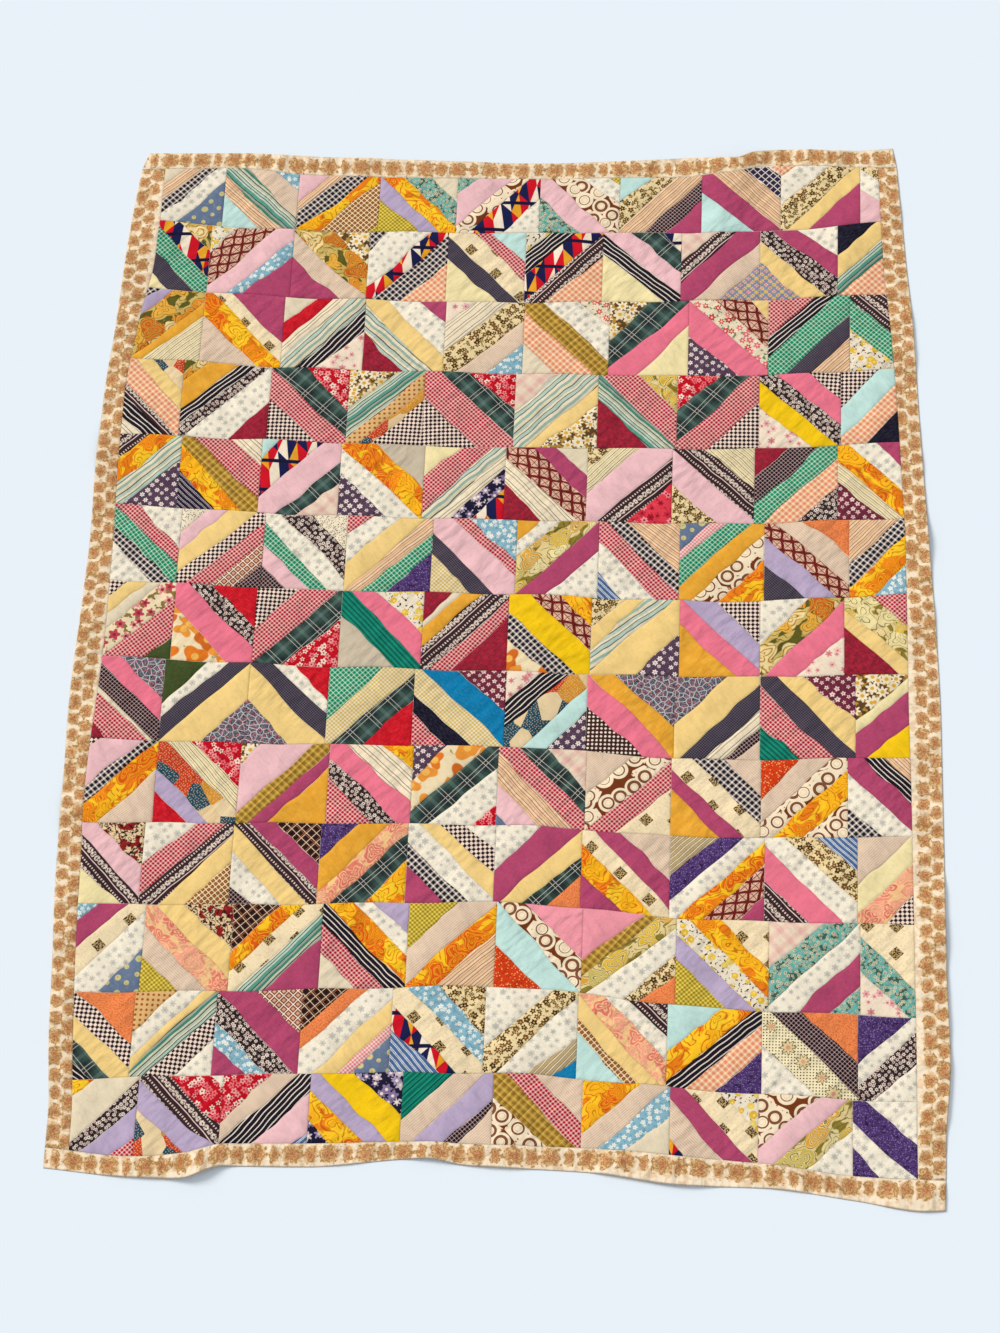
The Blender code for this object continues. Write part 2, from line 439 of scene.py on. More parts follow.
# %% Scattered flowers
def flowers(cloth, pitch, fullness, petals=5, spread=0.8, seed=0.0):
    """Masks of petals and of hearts, the distance to the petals' edge, and a random number."""
    point = cloth.cells(pitch, spread, seed)
    arm = cloth.vector("SUBTRACT", {0: cloth.place(pitch, seed), 1: point.also("Position")})
    arm_along = cloth.node("ShaderNodeSeparateXYZ", {}, {0: arm})
    turn = arm_along.math("ARCTAN2", arm_along.also("Y"))
    chance = cloth.chance_of(point)
    lobes = (turn * petals + chance * 6.0).math("COSINE")
    edge = point - (lobes * 0.22 + 0.55 + chance.also("Green") * 0.45) * fullness
    return edge.below(0.0, 0.06), point.below(fullness * 0.30, 0.05), edge, chance


def floral(cloth, ground, petal_codes, heart, leaf, pitch, fullness=0.42, petals=5, cover=0.45,
           seed=0.0, leaf_size=0.5):
    """Flowers with hearts and a tangle of leaves behind them."""
    leaves = cloth.noise(pitch * leaf_size, 2.0, seed + 1.0).above(1 - cover, 0.05)
    petal, middle, edge, chance = flowers(cloth, pitch, fullness, petals, 0.85, seed)
    return cloth.layers(ground, (leaves, leaf), (petal, cloth.pick(chance, petal_codes)), (middle, heart))


def blooms(cloth, ground, strokes, petal_codes, line, pitch, seed=0.0):
    """Large loose flowers whose petals curl round and round, over long strokes of the brush."""
    brush = cloth.noise(pitch * 0.40, 1.5, seed + 1.0, 2.6)
    petal, middle, edge, chance = flowers(cloth, pitch, 0.66, 3, 0.9, seed)
    curls = (edge * 24.0 + brush * 16.0).math("COSINE")
    bloom = cloth.mix(curls.above(0.0, 0.25) * 0.75, cloth.pick(chance, petal_codes), petal_codes[-1])
    return cloth.layers(
        ground, (brush.above(0.52, 0.04), strokes), (petal, bloom), (curls.above(0.86, 0.14) * 0.8, line))


def sprigged(cloth, ground, petal_codes, heart, leaf, pitch, fullness, petals=5, spread=0.7):
    """Small flowers well apart on a plain ground, with a few stems."""
    stems = cloth.noise(pitch * 0.35, 1.0, 2.0).above(0.62, 0.05) * 0.55
    petal, middle, edge, chance = flowers(cloth, pitch, fullness, petals, spread)
    return cloth.layers(ground, (stems, leaf), (petal, cloth.pick(chance, petal_codes)), (middle, heart))


# %% [markdown]
# ## Prints with a plan of their own
#
# Some cottons need more than scattered flowers: a trellis, a band of small blossoms, rings, a web
# of lines. Each is a short function that says where its lines and spots lie. The geometric print and
# the ringed one are simple designs made for this lesson: triangles in a slanting grid, and circles
# of several widths.

# %% Trellis, bands, rings and webs
def trellis(cloth):
    """Brown lattice on cream, with a finer cross and curls in its openings."""
    bend = cloth.drift(0.008, 0.030)
    rise = cloth.u * 0.60 + cloth.v * 0.80 + bend
    fall = cloth.u * 0.60 - cloth.v * 0.80 + bend
    bars = rise.near(0.021).math("MINIMUM", fall.near(0.021))
    fine = (cloth.u + bend).near(0.0175).math("MINIMUM", cloth.v.near(0.01312))
    curls = cloth.noise(0.0050, 2.0, 1.0).near(0.16)
    return cloth.layers(
        "#EFCDB4", (curls.below(0.022, 0.02), "#94463A"), (fine.below(0.0007, 0.0006), "#7E2A24"),
        (bars.below(0.0026, 0.0008), "#6E1F1C"))


def flower_band(cloth):
    """Dark bands with a chain of little flowers, a thin pale line and a dashed edge."""
    pitch = 0.034
    across = ((cloth.v + cloth.drift(0.005)) / pitch).math("FRACT") * pitch
    away = across.off(0.0115).and_across(cloth.u.near(0.0118))
    thin = across.off(0.0215).below(0.0009, 0.0005)
    dash = cloth.u.near(0.0062).below(0.0014, 0.0005) * across.above(0.0300, 0.0006)
    petals = cloth.noise(0.0030, 1.0, 2.0).above(0.42, 0.06)
    return cloth.layers(
        "#36262C", (away.below(0.0058, 0.0012) * petals, "#E2D2C6"),
        (away.below(0.0014, 0.0006), "#3A2A2E"), (thin, "#EBD0CA"), (dash, "#D9C2B8"))


def ring_print(cloth):
    """Brown rings of several widths on cream, with small spots and brown patches between them."""
    big = cloth.cells(0.034, 0.60)
    kind = cloth.chance_of(big)
    small = cloth.cells(0.012, 0.9, 2.0)
    thick = kind.also("Green") * 0.075 + 0.020
    ring = big.off(0.33).math("LESS_THAN", thick)
    inner = big.off(0.17).below(0.012, 0.012)
    gaps = big.above(0.56, 0.03)
    return cloth.layers(
        "#F3E4C8", (inner * 0.6, "#C98E62"), (small.below(0.16, 0.05) * gaps, "#A8683E"),
        (gaps * kind.above(0.45, 0.02), "#74391B"), (ring * 0.95, "#74391B"))


def geometric(cloth):
    """Bold blocks of navy, red, gold and white, cut by slanting bars."""
    along = cloth.u / 0.042
    across = (cloth.v + cloth.u * 0.5) / 0.034
    column = along.math("FLOOR")
    row = across.math("FLOOR")
    turn = ((column * 3.0 + row * 2.0) / 7.0).math("FRACT")
    codes = ("#1A1E4C", "#F1E4D0", "#CE1528", "#E6A42C", "#CE1528", "#F1E4D0", "#E6A42C")
    other = ("#CE1528", "#1A1E4C", "#F1E4D0", "#CE1528", "#E6A42C", "#1A1E4C", "#CE1528")
    half = (along.math("FRACT") + across.math("FRACT")).above(1.0, 0.04)
    bar = (along - across * 0.5).near(1.5).below(0.09, 0.02)
    return cloth.layers(cloth.pick(turn, codes), (half, cloth.pick(turn, other)), (bar, "#17173A"))


def speckled_square(cloth):
    """Dark speckled squares, staggered on cream, with fine sprigs between them."""
    rise, fall = cloth.slanted()
    square = (rise.near(0.056) + fall.near(0.056)).below(0.0148, 0.0008)
    fleck = cloth.noise(0.0030, 1.0, 3.0).above(0.5, 0.06)
    twigs = cloth.noise(0.0042, 2.0, 1.0).above(0.62, 0.05) * 0.35
    return cloth.layers(
        "#F1E0BC", (twigs, "#CDAA6E"), (square, cloth.mix(fleck, "#2E2220", "#BFA470")))


def burst_print(cloth):
    """A loose web of blue-grey lines with red sparks, on a slate and burgundy ground."""
    settings = {"voronoi_dimensions": "2D", "feature": "DISTANCE_TO_EDGE"}
    sockets = {"Vector": cloth.place(0.0125), "Scale": 1.0, "Randomness": 1.0}
    web = cloth.node("ShaderNodeTexVoronoi", settings, sockets)
    fine = cloth.noise(0.011, 1.5, 4.0).near(0.10).below(0.014, 0.010)
    sparks = cloth.cells(0.010, 0.9, 3.0).below(0.17, 0.06)
    return cloth.layers(
        "#3B3242", (cloth.noise(0.014, 1.0, 2.0).above(0.50, 0.1), "#6A2C40"), (fine * 0.8, "#93A9B6"),
        (web.below(0.060, 0.04) * 0.9, "#C6CED0"), (sparks * 0.8, "#C46A7E"))


def purple(cloth):
    """Purple with pale specks, and dark veins that wander over it."""
    ground = speckled(cloth, "#4F3872", ("#8E7AB0", "#35264E", "#8E7AB0"), 0.0034)
    veins = cloth.noise(0.024, 1.0, 21.0).near(0.24).below(0.016, 0.012)
    return cloth.mix(veins * 0.85, ground, "#241738")


def medallion_print(cloth):
    """Scalloped medallions on a fine grid of dark dots."""
    ground = dotted(cloth, "#EFE4BE", "#453C34", 0.006, 0.0014, True)
    petal, middle, edge, chance = flowers(cloth, 0.044, 0.33, 8, 0.25, 1.0)
    ring = edge.math("ABSOLUTE").below(0.030, 0.03)
    return cloth.layers(ground, (petal, "#DCCB9A"), (ring, "#6E6248"), (middle, "#D99A7E"))


def tile_print(cloth):
    """Brown squares set off by white lines."""
    lines = cloth.u.near(0.013).math("MINIMUM", cloth.v.near(0.013))
    white = lines.below(0.0009, 0.0005)
    inner = lines.above(0.0036, 0.0006)
    return cloth.layers("#8A4A34", (white, "#F4ECDF"), (inner, "#D9A98C"))


def ditsy_scraps(cloth):
    """Little scraps of cream, gold, orange and teal, each with a fine print."""
    scrap = cloth.cells(0.046, 1.0)
    codes = ("#E4CFA6", "#C8431F", "#E0C79C", "#1E4A5E", "#D0902C", "#C23E1C", "#1E4A5E")
    colour = cloth.pick(cloth.chance_of(scrap), codes)
    spots = cloth.cells(0.0050, 0.6, 1.0).below(0.24, 0.08)
    return cloth.mix(spots * 0.50, colour, "#E9CFAE")


def branch_print(cloth):
    """Dark branches and deep red clusters on beige."""
    lines = cloth.noise(0.017, 2.5, 1.0).near(0.22).below(0.028, 0.016)
    clusters = cloth.noise(0.026, 3.0, 3.0).above(0.55, 0.03)
    buds = cloth.noise(0.007, 2.0, 4.0).above(0.60, 0.04)
    return cloth.layers("#E3CBA2", (lines, "#3E221C"), (clusters, "#8E1F22"), (buds, "#2E1A18"))


# %% [markdown]
# ## The shelf of cottons
#
# Each cotton is one row: its name, and what the function that prints its kind is told. Colours come
# as hex codes and sizes in metres. A table is easier to read and to change than eighty node trees,
# and a cotton is only made when some block asks for it.

# %% Plains
COTTONS = {}


def shelve(make, **looks):
    """Puts cottons of one kind on the shelf: what prints them, and what that is told for each."""
    for name, look in looks.items():
        COTTONS[name] = (make, look)


shelve(
    plain,
    plum=["#AE446C"],
    rose=["#E87690"],
    pink=["#EABEC6"],
    butter=["#EFD088"],
    lemon=["#EFE2AE"],
    gold=["#E4A432", "#F0BC4C", 0.3, 0.02],
    sun=["#F1C70A"],
    red=["#CC1326", "#A80C1C", 0.4, 0.012],
    navy=["#151328"],
    blue=["#0079AE"],
    aqua=["#BFE3E0"],
    lavender=["#B5A6C8"],
    forest=["#3A4822", "#56682E", 0.4],
    cream=["#E4D8BE"],
    stone=["#C6BAA6"],
    orange=["#EE8A50", "#B8522E", 0.6, 0.0030],
    dusty_tweed=["#EA90A2", "#F6BCC4", 0.5],
    maroon_tweed=["#8C1C32", "#B8223A", 0.6, 0.008],
)
shelve(
    speckled,
    speckle=["#EFE4CC", ("#5A5560", "#8A7A60", "#33303A"), 0.0042],
    red_ditsy=["#D33E16", ("#EDA565", "#9A3016", "#EDB47E"), 0.0046],
)
print(len(COTTONS), "plains and tweeds")

# %% Checks, plaids and dots
shelve(
    gingham,
    red_gingham=["#AE1030", 0.0070, "#F2CEC8", 0.64],
    green_gingham=["#0E8662", 0.0080, "#CBE6D2", 0.72],
    fine_gingham=["#1A121C", 0.0066, "#D6B6B4", 0.79],
    peach_gingham=["#E38E6C", 0.0105, "#F5DFBC", 0.58],
    pink_gingham=["#D8708A", 0.0060, "#F0D8C8"],
    yellow_gingham=["#CFB15E", 0.0062, "#EAE2CA", 0.56],
    slate_check=["#2A2532", 0.0042, "#665E6E", 0.60],
    lime_check=["#9A8018", 0.0066, "#E6D25E", 0.54],
    black_check=["#1E1E2A", 0.0108, "#F2E6DE", 0.68],
)
shelve(
    checkerboard,
    checkerboard=["#2A1C20", "#F0DCD0", 0.0125],
)
shelve(
    plaid,
    navy_windowpane=["#2E2A44", ((0.012, 0.0, 0.0018, "#E8DCDA", 1.0),)],
    pink_plaid=[
        "#E8D6C2", ((0.029, 0.0, 0.0120, "#DDA09E", 0.60), (0.029, 0.0, 0.0012, "#C8787E", 0.35))],
    green_plaid=[
        "#38504A", ((0.052, 0.0, 0.028, "#1B202A", 0.75), (0.052, 0.026, 0.0080, "#66807C", 0.7),
        (0.052, 0.0038, 0.0011, "#CFC9C0", 0.85), (0.052, -0.0038, 0.0011, "#CFC9C0", 0.85))],
    olive_plaid=[
        "#C69C40", ((0.0125, 0.0, 0.0056, "#6E5618", 0.75), (0.0125, 0.0062, 0.0016, "#DCC476", 0.75),
        (0.025, 0.0030, 0.0010, "#5E4016", 0.8))],
    blue_plaid=[
        "#DCCFB6", ((0.012, 0.0, 0.0050, "#4E76A6", 0.80), (0.024, 0.0060, 0.0026, "#DDB43E", 0.9),
        (0.024, 0.0180, 0.0020, "#CF6C82", 0.9))],
    brown_check=[
        "#7A3A1A", ((0.0088, 0.0, 0.0022, "#F1DCAE", 1.0), (0.0088, 0.0044, 0.0012, "#B07C50", 0.8))],
    brown_plaid=[
        "#3E221C", ((0.014, 0.0, 0.0062, "#181218", 0.75), (0.014, 0.007, 0.0014, "#E6CDB0", 0.95),
        (0.028, 0.0035, 0.0012, "#A8623C", 0.9))],
)
shelve(
    sprigged,
    denim_dot=[
        "#667896", ("#CBC888", "#C2C084", "#CBC888"), "#D0A67C", "#7686A2", 0.0250, 0.29, 1, 0.25],
    slate_dot=[
        "#523E54", ("#EDE3DC", "#E2D6D4", "#EDE3DC"), "#A88EA0", "#6A5468", 0.0155, 0.34, 6, 0.35],
    maroon_dot=[
        "#6C2A3E", ("#EFD8D2", "#E6C6C2", "#EFD8D2"), "#B8788A", "#8A404E", 0.0150, 0.34, 5, 0.35],
)
shelve(
    dotted,
    brown_dot=["#3C2420", "#EFE2D6", 0.0085, 0.0024, True, 0.0012],
    gold_dot=["#DDB57A", "#A2582A", 0.0105, 0.0027, True, 0.0014],
)
print(len(COTTONS), "with the checks and dots")

# %% Stripes
shelve(
    striped,
    black_stripe=[0.0090, ((0.0, "#1E1822"), (0.76, "#E2DAD2")), 0.0016],
    peach_stripe=[
        0.0165, ((0.0, "#E8C49E"), (0.24, "#93644A"), (0.32, "#EDD2B4"), (0.55, "#E4B088"),
        (0.62, "#93644A"), (0.69, "#E8C49E"), (0.88, "#AE7C58"), (0.94, "#E8C49E"))],
    teal=[0.0085, ((0.0, "#168A76"), (0.55, "#0B5848"), (0.80, "#126E5E")), 0.0006],
    teal_stripe=[
        0.0430, ((0.0, "#B4CABC"), (0.10, "#22443F"), (0.14, "#C2CEBE"), (0.22, "#5A9A8A"),
        (0.38, "#1A3834"), (0.42, "#9AA298"), (0.52, "#3C8472"), (0.64, "#CACAB4"), (0.74, "#3E4C48"),
        (0.79, "#B8C4B0"), (0.90, "#E2DCC6"), (0.96, "#2F5650"))],
    green_stripe=[
        0.0430, ((0.0, "#B6CCC0"), (0.16, "#5E6A62"), (0.21, "#E6DCC4"), (0.36, "#94B2A6"),
        (0.50, "#DCD2B6"), (0.66, "#46504A"), (0.71, "#B6C6BA"), (0.86, "#ECE0C4"), (0.95, "#727868")),
        0.0020],
    olive_stripe=[0.0100, ((0.0, "#EADCB4"), (0.48, "#625A36"), (0.60, "#F0E4C4"), (0.88, "#B09C6A"))],
    cream_stripe=[
        0.0185, ((0.0, "#EFE2C8"), (0.35, "#84785E"), (0.43, "#F2E8D0"), (0.66, "#C0AE8E"),
        (0.80, "#EFE2C8"))],
    tan_stripe=[0.0042, ((0.0, "#E2CBB4"), (0.60, "#BFA48C"), (0.80, "#E8D4C2")), 0.0008],
    denim_stripe=[0.0100, ((0.0, "#4A6A9C"), (0.60, "#E4E4E2"), (0.72, "#6C8AB4"), (0.88, "#E4E4E2"))],
    navy_stripe=[0.0090, ((0.0, "#201C36"), (0.64, "#D6C8C6"), (0.74, "#302E50"), (0.92, "#D6C8C6"))],
    gold_stripe=[0.0090, ((0.0, "#BBA37A"), (0.50, "#77684C"), (0.62, "#E4DABE"), (0.84, "#968660"))],
)
print(len(COTTONS), "with the stripes")

# %% Flowers
ORANGES = ("#EC7E1A", "#F8D030", "#DC5A18", "#F9B820")
AUTUMN = ("#E2882C", "#E8D8A4", "#C4601E", "#E4AC44")
MEADOW = ("#DDB53A", "#C9B45C", "#D9A03A", "#EBDDA4")
CORALS = ("#E4806C", "#EFA288", "#DC7668", "#EFA98A")
shelve(
    sprigged,
    sprig=["#F2EBDA", ("#CFCCC2", "#D6D3C8", "#C6C5BC"), "#B9B9B2", "#E6E0CE", 0.0190, 0.34, 6, 0.4],
    black_floral=[
        "#261A20", ("#E4D5CA", "#D4BEB6", "#EBDDD2"), "#3A2A30", "#6A5450", 0.0088, 0.45, 6, 0.6],
)
shelve(
    floral,
    blue_floral=[
        "#86B4C8", ("#EAEDE6", "#D8E4E4", "#EAEDE6"), "#C9D8DC", "#6E9EB6", 0.013, 0.38, 5, 0.40],
    brown_floral=[
        "#EAD6A6", ("#4E3820", "#6E4A28", "#3E2A1A"), "#C9A25E", "#7E6636", 0.0145, 0.42, 5, 0.42],
    red_floral=[
        "#C01024", ("#F2DCCE", "#EC9C9C", "#E8707A"), "#A82A32", "#8A0E1C", 0.0125, 0.50, 5, 0.30],
    red_roses=[
        "#DC3C4E", ("#A8182E", "#EE98A2", "#BC2A40"), "#7E1426", "#B8203A", 0.019, 0.42, 6, 0.35],
    rose_print=[
        "#EADCC2", ("#CC3A50", "#DE6A7C", "#C02A40"), "#F1D6A6", "#6E8E5E", 0.020, 0.38, 6, 0.36],
    poppy_print=[
        "#EEDDB8", ("#E07A24", "#D06A24", "#E8963A"), "#F0B85A", "#A89A54", 0.046, 0.56, 3, 0.28],
    daisy_print=[
        "#5C442A", ("#F1E6CC", "#EBDDB8", "#F1E6CC"), "#DBA83A", "#B48C3C", 0.0225, 0.60, 7, 0.46],
    teal_floral=[
        "#66AEA8", ("#CFCBB0", "#A9BFAE", "#D6CCAC"), "#5E5640", "#3C6258", 0.0072, 0.46, 5, 0.45, 0.0,
        2.2],
    navy_floral=[
        "#1E1A34", ("#A294B8", "#8474A0", "#C8BACA"), "#EFE2CC", "#DAD2D6", 0.021, 0.48, 6, 0.32],
    pink_floral=[
        "#EFE0CC", ("#E0A6A8", "#EABCB8", "#D48C90"), "#C8707A", "#DEC0B0", 0.024, 0.32, 6, 0.26],
    twig_print=[
        "#E8DFCB", ("#E4C040", "#E8CC60", "#DDB43A"), "#EFD678", "#42332A", 0.0240, 0.34, 1, 0.37, 3.0,
        0.26],
    tulip_print=[
        "#EDDDBA", ("#CE5A66", "#BC4454", "#DE8C8E"), "#8E2A3E", "#8A7440", 0.030, 0.40, 5, 0.42],
)
shelve(
    blooms,
    orange_floral=["#F8C628", "#E6801A", ORANGES, "#C05218", 0.050],
    autumn_floral=["#CDB468", "#5C5A22", AUTUMN, "#5A4A1E", 0.048, 3.0],
    meadow_print=["#E2CE94", "#8E7E34", MEADOW, "#5E5424", 0.046, 4.0],
    coral_floral=["#EFC28A", "#E4927A", CORALS, "#F2D6A0", 0.036, 5.0],
)
for make in (trellis, flower_band, ring_print, geometric, speckled_square, burst_print, purple,
             medallion_print, tile_print, ditsy_scraps, branch_print):
    COTTONS[make.__name__] = (make, [])

# Cottons with raised ribs, and how far apart the ribs are
RIBBED = {"teal": 0.0050}
print(len(COTTONS), "cottons on the shelf")

# %% Take a cotton from the shelf
dyed = {}


def cotton(name):
    """The material of one cotton, made the first time that it is asked for."""
    if name not in dyed:
        make, look = COTTONS[name]
        cloth = Cloth(name + "_cotton")
        dyed[name] = finish_cloth(cloth, make(cloth, *look), 1.0, RIBBED.get(name, 0.0))
    return dyed[name]


# %% [markdown]
# ## The chart of the blocks
#
# One line is one block, row by row from the head and from left to right. The words are the strips
# from the first corner to the last, and each number says how far across the block its strip ends,
# in hundredths. Blocks lean right and left by turns, so their strips run together into zigzags.

